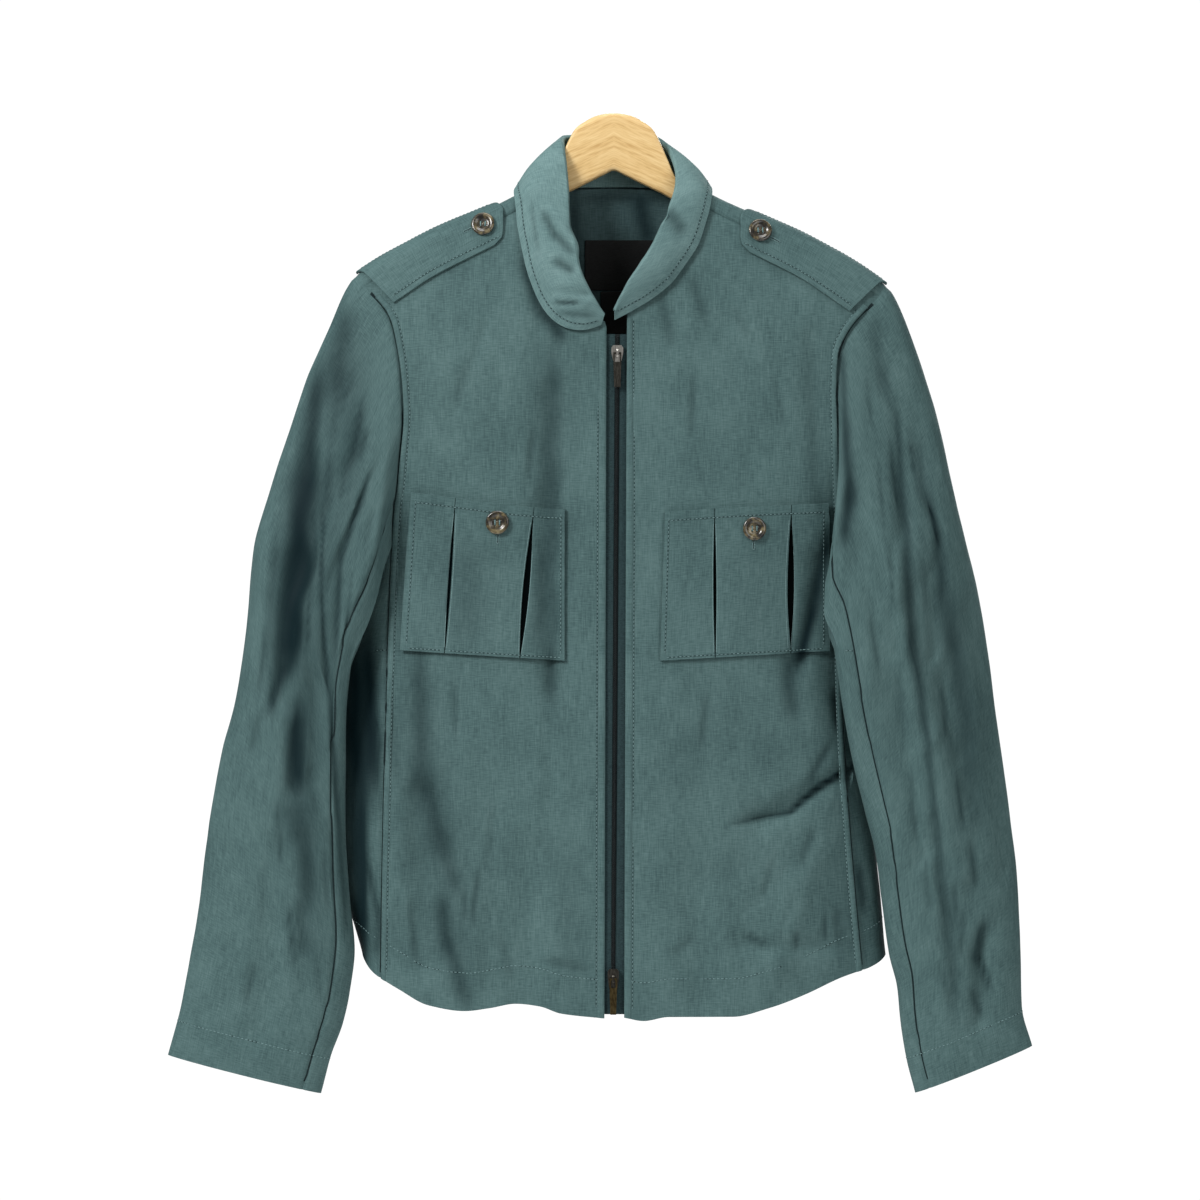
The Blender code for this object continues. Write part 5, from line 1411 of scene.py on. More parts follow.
# Dark strip that paints the shade of the ditch under a row of stitches
STITCH_GROOVE_SHADE = plain_cloth_look("stitch_groove", (0.014, 0.032, 0.033), (0.030, 0.060, 0.061), 3000.0)
# Near black for the needle holes, and for the strips that paint the shade of a seam's ditch
HOLE_AND_SEAM_SHADE = plain_cloth_look("needle_hole", (0.003, 0.009, 0.010), (0.008, 0.019, 0.021), 3000.0)
TAPE = plain_cloth_look("zip_tape_weave", (0.008, 0.020, 0.023), (0.021, 0.045, 0.048), 2200.0)
COIL = plain_cloth_look("zip_coil_nylon", (0.002, 0.004, 0.005), (0.007, 0.013, 0.014), 1500.0, 0.45)
LABEL = plain_cloth_look("label_satin", (0.002, 0.002, 0.002), (0.007, 0.008, 0.008), 2600.0, 0.55)
BEECH = wood_look()
HORN = horn_look()
SILVER = metal_look("worn_silver", (0.42, 0.40, 0.36), (0.62, 0.60, 0.56), 0.28)
GUNMETAL = metal_look("gunmetal", (0.045, 0.042, 0.036), (0.085, 0.080, 0.068), 0.36)
BRONZE = metal_look("aged_bronze", (0.050, 0.036, 0.016), (0.105, 0.080, 0.036), 0.38)


class Cloth:
    """A piece of cloth as grids of outer points, each a list of rows."""

    def __init__(self, name):
        self.name = name
        self.cells = []
        self.where = {}

    def add_grid(self, rows, facing, plane=False):
        """Faces between rows of points, turned to face outwards at the first row."""
        cells = []
        down = 0.0
        middle = len(rows[0]) // 2
        for i, row in enumerate(rows):
            if i:
                down += (row[middle] - rows[i - 1][middle]).length
            across = 0.0
            half = sum((b - a).length for a, b in zip(row, row[1:])) / 2
            for k, point in enumerate(row):
                if k:
                    across += (point - row[k - 1]).length
                self.where.setdefault(spot(point), (point.x, -point.z) if plane else (across - half, down))
        for low, high in zip(rows, rows[1:]):
            for k in range(len(low) - 1):
                cells.append((low[k], low[k + 1], high[k + 1], high[k]))
        score = 0.0
        for cell in cells[: len(rows[0]) - 1]:
            score += face_vector(cell).dot(facing(sum(cell, Vector()) / len(cell)))
        self.cells += [tuple(reversed(cell)) for cell in cells] if score < 0 else cells


def gather_normals(cloths):
    """One direction for every point, shared by the pieces that meet there."""
    normals = {}
    for cloth in cloths:
        for cell in cloth.cells:
            vector = face_vector(cell)
            for corner in cell:
                place = spot(corner)
                if place in normals:
                    normals[place] += vector
                else:
                    normals[place] = vector.copy()
    for vector in normals.values():
        vector.normalize()
    return normals


def wrinkle_troughs(wrinkles, first, wider, part):
    """Small wrinkles as troughs, each with the next width, depth and painted shade of the cycles."""
    return tuple(
        Trough(
            *ends,
            WRINKLE_WIDTHS[turn % len(WRINKLE_WIDTHS)] + wider,
            WRINKLE_DEPTHS[turn % len(WRINKLE_DEPTHS)],
            WRINKLE_PAINTED_SHADES[turn % len(WRINKLE_PAINTED_SHADES)] * part,
        )
        for turn, ends in enumerate(wrinkles, first)
    )


ALL_SLEEVE_TROUGHS = SLEEVE_TROUGHS + wrinkle_troughs(SLEEVE_WRINKLES, 0, 0.0, 1.0)
ALL_BODY_TROUGHS = BODY_TROUGHS + wrinkle_troughs(
    BODY_WRINKLES, len(SLEEVE_WRINKLES), BODY_WRINKLE_WIDER, BODY_WRINKLE_SHADE_PART
)


def pressed(troughs, x, z):
    """Depth of the troughs, and the shade they paint into the colour, at a place seen from the front."""
    depth = 0.0
    light = 1.0
    wander = noise.noise(Vector((x / TROUGH_WANDER_SIZE[0], 4.0, z / TROUGH_WANDER_SIZE[1])))
    for trough in troughs:
        run = trough.x1 - trough.x0
        fall = trough.z1 - trough.z0
        size = run * run + fall * fall
        t = ((x - trough.x0) * run + (z - trough.z0) * fall) / size
        ends = min(min(t, 1 - t) + TROUGH_FADE, 2 * TROUGH_FADE) / (2 * TROUGH_FADE)
        if ends < 0:
            continue
        away = ((x - trough.x0) * fall - (z - trough.z0) * run) / math.sqrt(size)
        away += TROUGH_WANDER * trough.width * wander
        if abs(away) > 3 * trough.width:
            continue
        part = math.exp(-((away / trough.width) ** 2)) * smoothstep(ends)
        depth += trough.depth * part
        light *= 1 - trough.tone * part
    return depth, 1 - light


def facing_part(normal):
    """How much of a front trough a place takes: all in front, less on the hidden side."""
    facing = min(abs(normal.y) * FACING_STEEP, 1.0)
    return facing if normal.y < 0 else HIDDEN_PART * facing


def stretched_noise(point, size, shift):
    return noise.noise(Vector((point.x / size[0], point.y / size[1], point.z / size[2])) + shift)


def drape(point):
    """Fine unevenness of worn linen, in millimetres along the cloth's normal."""
    soft = stretched_noise(point, DRAPE_SOFT_SIZE, DRAPE_SEED)
    crush = stretched_noise(point, DRAPE_CRUSH_SIZE, -DRAPE_SEED)
    return DRAPE_SOFT * soft + DRAPE_CRUSH * crush * (0.5 + max(soft, 0.0))


def plain_object(name, points, faces):
    """A mesh from points in millimetres."""
    mesh = bpy.data.meshes.new(name)
    mesh.from_pydata([tuple(point * MM) for point in points], [], faces)
    made = bpy.data.objects.new(name, mesh)
    bpy.context.scene.collection.objects.link(made)
    return made


def mesh_object(name, points, faces, materials, uvs=None, sharp_degrees=50.0, indices=None, painted_shades=None):
    """A dressed mesh that rides on the jacket."""
    made = plain_object(name, points, faces)
    mesh = made.data
    if uvs is not None:
        layer = mesh.uv_layers.new(name="grain")
        used = [uvs[k] for polygon in mesh.polygons for k in polygon.vertices]
        layer.data.foreach_set("uv", [part * MM for uv in used for part in uv])
    # Shade painted into the colour of the troughs, kept in the fold attribute
    if painted_shades is not None:
        shades = mesh.attributes.new("fold", "FLOAT_COLOR", "POINT")
        shades.data.foreach_set("color", [part for tone in painted_shades for part in (tone, tone, tone, 1.0)])
    for one in materials:
        mesh.materials.append(one)
    if indices is not None:
        mesh.polygons.foreach_set("material_index", indices)
    mesh.shade_smooth()
    if sharp_degrees:
        mesh.set_sharp_from_angle(angle=math.radians(sharp_degrees))
    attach(made, "jacket")
    return made


def shown_as(piece, name):
    """Hide the solid that a piece replaces, and give back the piece."""
    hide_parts(name)
    return piece


def doubled(points, inner, faces):
    """The faces, the same faces of the inner points, and the rim between."""
    count = len(points)
    inner_faces = [tuple(k + count for k in reversed(face)) for face in faces]
    rims = [(b, a, a + count, b + count) for a, b in rim_edges(faces)]
    return points + inner, faces + inner_faces + rims


def build_cloth(cloth, normals, looks, detail, troughs, both_sides=False, inside=None):
    """The outer faces, the same faces moved in by the wall, and the rim between; the troughs press the faces
    in and paint shade into their colour.
    """
    numbers = {}
    outer = []
    uvs = []
    faces = []
    painted_shades = []
    for cell in cloth.cells:
        ring = []
        for corner in cell:
            place = spot(corner)
            if place not in numbers:
                numbers[place] = len(outer)
                normal = normals[place]
                depth, tone = pressed(troughs, corner.x, corner.z)
                part = facing_part(normal) if both_sides else 1.0
                outer.append(corner + normal * (detail(corner) - depth * part))
                painted_shades.append(tone * part)
                uvs.append(cloth.where[place])
            ring.append(numbers[place])
        faces.append(tuple(ring))
    inner = [point - normals[place] * CLOTH for place, point in zip(numbers, outer)]
    # The inner faces take the same painted shade, or the shade painted inside the neck
    inner_painted_shades = painted_shades if inside is None else [pressed(inside, point.x, point.z)[1] for point in inner]
    points, closed = doubled(outer, inner, faces)
    indices = [0] * len(faces) + [1] * len(faces) + [0] * (len(closed) - 2 * len(faces))
    painted_shades = painted_shades + inner_painted_shades
    return mesh_object(cloth.name + "_cloth", points, closed, looks, uvs + uvs, indices=indices, painted_shades=painted_shades)


def fine_arcs():
    """The arcs of the shoulder rows, with more rows between them."""
    arcs = []
    for low, high in zip(WRAP_ARCS, WRAP_ARCS[1:]):
        arcs += [mix(low, high, k / FINE) for k in range(FINE)]
    return arcs + [WRAP_ARCS[-1]]


def make_torso_and_sleeves():
    """Fronts, sides, back and sleeves, whose walls share their seams."""
    cloths = []
    backs = back_rows()
    GRIDS["back"] = backs
    back = Cloth("back")
    back.add_grid(backs, lambda centre: Vector((0, 1, 0)), True)
    for side, word, creases in ((LEFT, "left", CREASES_LEFT), (RIGHT, "right", CREASES_RIGHT)):
        fronts = front_rows(side)
        GRIDS["front_" + word] = fronts
        front = Cloth("front_" + word)
        front.add_grid(fronts, lambda centre: Vector((0, -1, 0)), True)
        edge = -1 if side.sign > 0 else 0
        sides = side_rows(
            side,
            [row[-1] for row in fronts[: LOWER_ROWS + 1]],
            [row[edge] for row in backs[: LOWER_ROWS + 1]],
        )
        GRIDS["side_" + word] = sides
        panel = Cloth("side_" + word)
        panel.add_grid(sides, lambda centre, sign=side.sign: Vector((sign, 0, 0)))
        wrap_rows = [shoulder_row(side, arc) for arc in fine_arcs()]
        back.add_grid(wrap_rows, lambda centre: Vector((0, 1, 1)))
        loop = armhole_loop(side, fronts, sides, backs, [row[-1] for row in wrap_rows])
        rings = sleeve_rows(side, loop, creases)
        RINGS[word] = rings
        middle = sum(loop, Vector()) / len(loop)
        closed = [ring + ring[:1] for ring in rings]
        count = len(loop)
        parts = (
            ("sleeve_top_" + word, list(range(BACK_SEAM_POINT, count)) + list(range(FRONT_SEAM_POINT + 1))),
            ("sleeve_under_" + word, list(range(FRONT_SEAM_POINT, BACK_SEAM_POINT + 1))),
        )
        for name, chosen in parts:
            sleeve = Cloth(name)
            strip = [[ring[k] for k in chosen] for ring in closed]
            ring_middle = (sum(rings[1], Vector()) / len(rings[1]) + middle) / 2
            sleeve.add_grid(strip, lambda centre, m=ring_middle: centre - m)
            cloths.append(sleeve)
        cloths += [front, panel]
    cloths.append(back)
    normals = gather_normals(cloths)
    owners = {}
    for cloth in cloths:
        for place in cloth.where:
            owners[place] = owners.get(place, 0) + 1

    def detail(point):
        return drape(point) - (SEAM_DITCH if owners[spot(point)] > 1 else 0.0)

    made = []
    for cloth in cloths:
        sleeve = cloth.name.startswith("sleeve")
        troughs = ALL_SLEEVE_TROUGHS if sleeve else ALL_BODY_TROUGHS
        inside = None
        if cloth.name == "back":
            troughs = BACK_TROUGHS
            inside = NECK_TROUGHS
        piece = build_cloth(cloth, normals, (LINEN, LINEN_INSIDE), detail, troughs, sleeve, inside)
        made.append(shown_as(piece, cloth.name))
    return made


def catmull(points, count):
    """A smooth line through points, with count steps between two of them."""
    line = []
    last = len(points) - 1
    for k in range(last):
        p0 = points[max(k - 1, 0)]
        p1 = points[k]
        p2 = points[k + 1]
        p3 = points[min(k + 2, last)]
        for n in range(count):
            t = n / count
            line.append(
                p1 + (p2 - p0) * (0.5 * t) + (p0 - p1 * 2.5 + p2 * 2 - p3 * 0.5) * t * t
                + (p1 * 1.5 - p0 * 0.5 - p2 * 1.5 + p3 * 0.5) * t ** 3
            )
    return line + [points[-1]]


def grid_patch(name, outer, inner, looks, sharp=50.0, dark=(), troughs=()):
    """A closed patch between two grids of the same size; the dark columns take the second look, which in a
    pocket paints the shade of its slits.
    """
    columns = len(outer[0])
    points = [point for row in outer for point in row]
    uvs = []
    for row in outer:
        across = 0.0
        for j, point in enumerate(row):
            if j:
                across += (point - row[j - 1]).length
            uvs.append((across, (row[0] - outer[0][0]).length))
    faces = []
    marks = []
    for i in range(len(outer) - 1):
        for j in range(columns - 1):
            a = i * columns + j
            faces.append((a, a + 1, a + 1 + columns, a + columns))
            marks.append(1 if j in dark else 0)
    inner_points = [point for row in inner for point in row]
    score = 0.0
    for face in faces:
        score += face_vector([points[k] for k in face]).dot(points[face[0]] - inner_points[face[0]])
    if score < 0:
        faces = [tuple(reversed(face)) for face in faces]
    points, closed = doubled(points, inner_points, faces)
    indices = marks + [0] * (len(closed) - len(faces))
    # Shade of the troughs, painted into the colour
    painted_shades = [pressed(troughs, point.x, point.z)[1] for point in points]
    return mesh_object(name, points, closed, looks, uvs + uvs, sharp, indices, painted_shades)


def two_grids(rows, columns, place):
    """Outer and inner points of a patch, from a function of the parts up and across."""
    pairs = [[place(i / rows, j / columns) for j in range(columns + 1)] for i in range(rows + 1)]
    return [[[pair[k] for pair in row] for row in pairs] for k in (0, 1)]


def soften(piece, width, segments=2, degrees=40.0):
    """Round the edges of a piece."""
    bevel = piece.modifiers.new("soft_edges", "BEVEL")
    bevel.width = width * MM
    bevel.segments = segments
    bevel.limit_method = "ANGLE"
    bevel.angle_limit = math.radians(degrees)
    bevel.harden_normals = False
    return piece


def make_collar():
    stations = COLLAR_LEFT + tuple(reversed(COLLAR_RIGHT))
    around = zip(stations[:1] + stations, stations, stations[1:] + stations[-1:])
    sections = [collar_section(station, before, after) for before, station, after in around]
    across = [catmull(list(column), 6) for column in zip(*sections)]
    rows = [catmull(list(section), 5) for section in zip(*across)]
    GRIDS["collar"] = rows
    collar = Cloth("collar")
    collar.add_grid([list(column) for column in zip(*rows)], lambda centre: centre - COLLAR_MIDDLE)

    def detail(point):
        folds = fold_height(COLLAR_FOLDS, point.x, point.z) if point.y < COLLAR_FOLDS_Y else 0.0
        return 0.5 * drape(point) + folds

    # The collar takes the lighter linen with its painted light
    looks = (LINEN_COLLAR_LIT, LINEN_INSIDE)
    piece = build_cloth(collar, gather_normals([collar]), looks, detail, COLLAR_TROUGHS)
    return soften(shown_as(piece, "collar"), 0.45)


def chamfer_at(c):
    for (c0, cut0), (c1, cut1) in zip(EPAULETTE_CHAMFER, EPAULETTE_CHAMFER[1:]):
        if c <= c1:
            return mix(cut0, cut1, (c - c0) / (c1 - c0))
    return EPAULETTE_CHAMFER[-1][1]


def strap_point(side, part, c):
    """Point and direction on the cloth under a shoulder strap."""
    inner_x = EPAULETTE_END_LEFT if side.sign < 0 else EPAULETTE_END_RIGHT
    arc = mix(-EPAULETTE_BEHIND, curve(EPAULETTE_WIDTH, part), c)
    start = side.arm_top - EPAULETTE_INSET - EPAULETTE_SLANT * max(arc, 0.0)
    x = side.sign * mix(start, inner_x + chamfer_at(c), part)
    return over_shoulder(x, arc), shoulder_normal(x, arc)


def make_strap(name, side):
    """A shoulder strap, a little puffed along its middle."""

    def place(part, c):
        point, normal = strap_point(side, part, c)
        puff = STRAP_PUFF * math.sin(math.pi * c) + STRAP_DRAPE * drape(point)
        return point + normal * (EPAULETTE_LIFT + EPAULETTE_WALL + puff), point + normal * EPAULETTE_LIFT

    piece = grid_patch(name + "_cloth", *two_grids(STRAP_ROWS, STRAP_COLUMNS, place), (LINEN, LINEN_INSIDE))
    return soften(shown_as(piece, name), 0.6, 3)


def slit_width(gap_top, gap_bottom, v):
    """A slit is widest below its middle and closes at both ends."""
    along = min(max(v / POCKET_HEM_PART, 0.0), 1.0)
    return 0.5 + mix(gap_bottom, gap_top, v) * math.sin(math.pi * along ** SLIT_HIGH) ** 0.8


def pocket_frame(pocket, v):
    (foot_x0, foot_z0), (foot_x1, foot_z1) = pocket.bottom
    first = min(pocket.top)[0]
    last = max(pocket.top)[0]
    left = mix(foot_x0, first, v)
    right = mix(foot_x1, last, v)

    def place(x):
        s = (x - left) / (right - left)
        return mix(mix(foot_z0, foot_z1, s), curve(pocket.top, mix(first, last, s)), v)

    return left, right, place


def pocket_lift(x):
    return PATCH_LIFT + PATCH_LIFT_SIDE * (abs(x) / POCKET_SIDE_X) ** 4


def slits_at(pocket, v):
    """Middle and half width of each slit, a part v of the way up the pocket."""
    found = []
    for (top_x, bottom_x, top_gap, bottom_gap), share in zip(pocket.slits, SLIT_SHARES):
        found.append((mix(bottom_x, top_x, v), slit_width(top_gap * share, bottom_gap * share, v) / 2))
    return found


def make_pocket(name, pocket):
    """Patch pocket: two slits beside a raised box pleat, closed above by the top hem."""
    full = POCKET_WALL + POCKET_PLEAT
    outer = []
    inner = []
    for i in range(POCKET_FINE_ROWS + 1):
        v = i / POCKET_FINE_ROWS
        left, right, place = pocket_frame(pocket, v)
        deep = SLIT_FLOOR if v < POCKET_HEM_PART else full - 0.15
        side = mix(full, deep, 0.4)
        dark = []
        row = []
        start = left
        for x, gap in slits_at(pocket, v):
            end = x - gap - SLIT_ROUND
            row += [(mix(start, end, n / POCKET_CELLS), full) for n in range(POCKET_CELLS)]
            row += [(end, full), (x - gap - 0.12, full - 0.12), (x - gap, side), (x - gap + 0.04, deep)]
            # The floor of the slit takes the painted slit shade
            dark.append(len(row) - 1)
            row += [(x + gap - 0.04, deep), (x + gap, side), (x + gap + 0.12, full - 0.12)]
            start = x + gap + SLIT_ROUND
        row += [(mix(start, right, n / POCKET_CELLS), full) for n in range(POCKET_CELLS + 1)]
        outer_row = []
        inner_row = []
        for x, rise in row:
            z = place(x)
            lift = pocket_lift(x)
            depth = POCKET_TROUGH * pressed(ALL_BODY_TROUGHS, x, z)[0]
            outer_row.append(on_front(x, z, lift + rise - depth + POCKET_DRAPE * drape(Vector((x, 0.0, z)))))
            inner_row.append(on_front(x, z, lift))
        outer.append(outer_row)
        inner.append(inner_row)
    # The pocket also takes the shade painted along the body's troughs
    piece = grid_patch(name + "_cloth", outer, inner, (LINEN, LINEN_SHADE), 40.0, dark, ALL_BODY_TROUGHS)
    return soften(shown_as(piece, name), 0.35)


def walk(line, distance):
    """The point at a distance along a line of points, from its first."""
    left = distance
    for a, b in zip(line, line[1:]):
        step = (b - a).length
        if step >= left and step > 0:
            return a.lerp(b, left / step)
        left -= step
    return line[-1].copy()


class Trees:
    """The outer surfaces of the cloth, for what is sewn on them."""

    def __init__(self, pieces):
        points = []
        faces = []
        for piece in pieces:
            start = len(points)
            points += [vertex.co / MM for vertex in piece.data.vertices]
            faces += [tuple(k + start for k in polygon.vertices) for polygon in piece.data.polygons]
        self.tree = BVHTree.FromPolygons(points, faces)

    def near(self, points):
        """The nearest place and its direction, for each point."""
        return [self.tree.find_nearest(point)[:2] for point in points]

    def drop(self, x, z):
        """The place and direction that show from the front."""
        return self.tree.ray_cast(Vector((x, -200.0, z)), Vector((0.0, 1.0, 0.0)))[:2]

    def dropped(self, places):
        found = [self.drop(x, z) for x, z in places]
        return [pair for pair in found if pair[0] is not None]


def resample(path, step):
    """Places a step apart along a path of (point, normal)."""
    found = []
    due = step / 2
    gone = 0.0
    for (a, na), (b, nb) in zip(path, path[1:]):
        length = (b - a).length
        while length > 0 and gone + length >= due:
            t = (due - gone) / length
            found.append((a.lerp(b, t), na.lerp(nb, t).normalized(), (b - a).normalized()))
            due += step
        gone += length
    return found


class Sewing:
    """Stitches and needle holes, gathered into one mesh each."""

    def __init__(self):
        self.points = []
        self.faces = []
        self.hole_points = []
        self.hole_faces = []
        self.strips = {}

    def capsule(self, centre, along, normal, length, radius, sides=5):
        """A stitch of a few rings, tapered at both ends."""
        across = along.cross(normal).normalized()
        start = len(self.points)
        for part, size, rise in STITCH_RINGS:
            base = centre + along * (length * part) + normal * (radius * rise)
            if size == 0.0:
                self.points.append(base)
                continue
            for k in range(sides):
                angle = 2 * math.pi * k / sides
                out = across * (math.cos(angle) * radius * size)
                self.points.append(base + out + normal * (math.sin(angle) * radius * size))
        ring = start + 1
        end = ring + 3 * sides
        for k in range(sides):
            m = (k + 1) % sides
            self.faces.append((start, ring + k, ring + m))
            for a in (ring, ring + sides):
                self.faces.append((a + k, a + k + sides, a + m + sides, a + m))
            self.faces.append((end, end - sides + m, end - sides + k))

    def hole(self, centre, along, normal):
        across = along.cross(normal).normalized()
        start = len(self.hole_points)
        for k in range(6):
            angle = 2 * math.pi * k / 6
            spread = along * math.cos(angle) + across * math.sin(angle)
            self.hole_points.append(centre + spread * HOLE_RADIUS + normal * 0.06)
            self.hole_faces.append((start + k, start + (k + 1) % 6, start + 6))
        self.hole_points.append(centre - normal * 0.2)

    def ribbon(self, path, width, look, lift):
        """The painted shade at the bottom of a seam or of a row of stitches, as a thin strip; also a
        thread-coloured strip by a pocket's slit.
        """
        points, faces = self.strips.setdefault(look.name, ([], []))
        start = len(points)
        dense = resample(path, RIBBON_STEP)
        for place, normal, along in dense:
            across = along.cross(normal).normalized() * (width / 2)
            points += [place - across + normal * lift, place + across + normal * lift]
        for a in range(start, start + 2 * len(dense) - 2, 2):
            faces.append((a, a + 1, a + 3, a + 2))

    def line(self, path, holes=True, groove=True):
        """A row of stitches along a path of (point, normal)."""
        if groove:
            # Painted shade of the ditch under the stitches, as a dark strip
            self.ribbon(path, GROOVE_SHADE_WIDTH, STITCH_GROOVE_SHADE, 0.12)
        for centre, normal, along in resample(path, STITCH_STEP):
            self.capsule(centre + normal * 0.05, along, normal, STITCH_LENGTH, STITCH_RADIUS)
            if holes:
                self.hole(centre + along * (STITCH_STEP / 2), along, normal)

    def finish(self, name):
        """One mesh for the thread, one for the holes and one for each look of the strips."""
        meshes = [
            (name + "_thread", self.points, self.faces, THREAD),
            (name + "_holes", self.hole_points, self.hole_faces, HOLE_AND_SEAM_SHADE),
        ]
        meshes += [(look.name + "_lines", *self.strips[look.name], look) for look in (HOLE_AND_SEAM_SHADE, STITCH_GROOVE_SHADE, THREAD)]
        for title, points, faces, look in meshes:
            mesh_object(title, points, faces, (look,), None, 0.0)


def make_zip():
    """Two woven tapes, and a coil of interlocked teeth between them."""
    for side, word in ((LEFT, "left"), (RIGHT, "right")):

        def place(v, s, side=side):
            z = mix(ZIP_BOTTOM, ZIP_TOP, v)
            inner_x = zip_x(z) + side.sign * COIL_HALF + side.sign * COIL_GAP
            outer_x = side.sign * (curve(side.centre_edge, z) + TAPE_TUCK)
            x = mix(min(inner_x, outer_x), max(inner_x, outer_x), s)
            away = abs(x - zip_x(z))
            cord = TAPE_CORD * math.exp(-(((away - TAPE_CORD_AT) / 0.5) ** 2))
            point = Vector((x, front_y(zip_x(z), z) + TAPE_DEPTH - cord, z))
            return point, point + Vector((0.0, TAPE_WALL, 0.0))

        name = "zip_tape_" + word
        grids = two_grids(ZIP_FINE_ROWS, TAPE_COLUMNS, place)
        shown_as(grid_patch(name + "_cloth", *grids, (TAPE,)), name)
    teeth = Sewing()
    front = Vector((0.0, -1.0, 0.0))
    up = Vector((0.0, 0.0, 1.0))
    count = int((ZIP_TOP - ZIP_BOTTOM - 2.0) / TOOTH_STEP)
    for k in range(count):
        z = ZIP_BOTTOM + 1.0 + k * TOOTH_STEP
        x = zip_x(z)
        y = front_y(x, z) + COIL_DEPTH + TOOTH_RADIUS * 0.9
        sign = 1.0 if k % 2 else -1.0
        along = Vector((1.0, 0.0, TOOTH_SLOPE * sign)).normalized()
        teeth.capsule(Vector((x + sign * TOOTH_SHIFT, y, z)), along, front, TOOTH_LENGTH, TOOTH_RADIUS, 6)
        for way in (-1.0, 1.0):
            centre = Vector((x + way * COIL_SIDE, y + 0.3, z))
            teeth.capsule(centre, up, front, TOOTH_STEP * 1.5, COIL_SIDE_RADIUS)
    start = len(teeth.points)
    for i in range(COIL_BED_ROWS + 1):
        z = mix(ZIP_BOTTOM, ZIP_TOP, i / COIL_BED_ROWS)
        x = zip_x(z)
        y = front_y(x, z) + COIL_DEPTH + 1.1
        teeth.points += [Vector((x - COIL_HALF, y, z)), Vector((x + COIL_HALF, y, z))]
        if i:
            a = start + 2 * i - 2
            teeth.faces.append((a, a + 1, a + 3, a + 2))
    coil = mesh_object("zip_coil_teeth", teeth.points, teeth.faces, (COIL,), None, 0.0)
    shown_as(coil, "zip_coil")


def circle(radius, sides, height):
    """Points of a circle round the Z axis."""
    angles = [2 * math.pi * k / sides for k in range(sides)]
    return [Vector((radius * math.cos(angle), radius * math.sin(angle), height)) for angle in angles]


def lathe(profile, sides):
    """Rings of a turned form round +Z: points and faces from (radius, height)."""
    points = []
    for radius, height in profile:
        points += circle(radius, sides, height) if radius else [Vector((0.0, 0.0, height))]
    last = len(points) - 1
    faces = []
    for k in range(sides):
        faces.append((0, 1 + k, 1 + (k + 1) % sides))
    for a in range(1, last - sides, sides):
        for k in range(sides):
            m = (k + 1) % sides
            faces.append((a + k, a + k + sides, a + m + sides, a + m))
    for k in range(sides):
        faces.append((last, last - sides + (k + 1) % sides, last - sides + k))
    return points, faces


def applied(piece):
    """The piece with its modifiers made part of its mesh."""
    graph = bpy.context.evaluated_depsgraph_get()
    mesh = bpy.data.meshes.new_from_object(piece.evaluated_get(graph))
    old = piece.data
    piece.modifiers.clear()
    piece.data = mesh
    bpy.data.meshes.remove(old)


def make_button(name, base, normal, sewing):
    """A turned button with a soft rim, a dished middle, four holes and its thread."""
    profile = [(BUTTON_DIAMETER / 2 * part, height) for part, height in BUTTON_FINE]
    points, faces = lathe(profile, BUTTON_FINE_SIDES)
    up = (Vector((0, 0, 1)) - normal * normal.z).normalized()
    across = up.cross(normal)

    def placed(point):
        return base + across * point.x + up * point.y + normal * point.z

    button = mesh_object(name + "_turned", [placed(point) for point in points], faces, (HORN,), None, 35.0)
    drill = []
    drill_faces = []
    hole, rings = lathe(((0.0, 6.0), (BUTTON_HOLE, 6.0), (BUTTON_HOLE, -2.0), (0.0, -2.0)), 16)
    for sx in (-1, 1):
        for sy in (-1, 1):
            start = len(drill)
            shift = Vector((sx * BUTTON_HOLE_AT, sy * BUTTON_HOLE_AT, 0.0))
            drill += [placed(point + shift) for point in hole]
            drill_faces += [tuple(k + start for k in face) for face in rings]
    cutter = mesh_object(name + "_drill", drill, drill_faces, (HORN,), None, 0.0)
    cut = button.modifiers.new("holes", "BOOLEAN")
    cut.operation = "DIFFERENCE"
    cut.solver = "EXACT"
    cut.object = cutter
    applied(button)
    bpy.data.objects.remove(cutter)
    shown_as(button, name)
    for sx in (-1, 1):
        centre = placed(Vector((sx * BUTTON_HOLE_AT, 0.0, BUTTON_FINE[1][1] + 0.25)))
        for turn in (-0.25, 0.0, 0.25):
            sewing.capsule(centre + across * turn, up, normal, 2 * BUTTON_HOLE_AT + 1.1, 0.24)
    sewing.capsule(base - normal * 0.3, normal, up, 3.2, 1.3, 8)


def make_buttonhole(trees, x, z, along, sewing):
    """Two close rows of short stitches round a slit."""
    place, normal = trees.drop(x, z)
    along = (along - normal * along.dot(normal)).normalized()
    across = along.cross(normal).normalized()
    count = int(BUTTONHOLE / BUTTONHOLE_STEP)
    for side in (-1, 1):
        for k in range(count):
            at = place + along * (k - count / 2) * BUTTONHOLE_STEP + across * side * 0.75
            sewing.capsule(at + normal * 0.1, across, normal, 1.2, 0.26, 4)
    for end in (-1, 1):
        for k in (-1, 0, 1):
            at = place + along * (end * BUTTONHOLE / 2) + across * (k * 0.5)
            sewing.capsule(at + normal * 0.12, along, normal, 1.0, 0.26, 4)
    for k in range(-6, 7):
        sewing.hole(place + along * (k * BUTTONHOLE / 14) + normal * 0.05, along, normal)


def rounded(part, power):
    """A share from -1 to 1, pushed out to make a section squarer."""
    return math.copysign(abs(part) ** power, part)


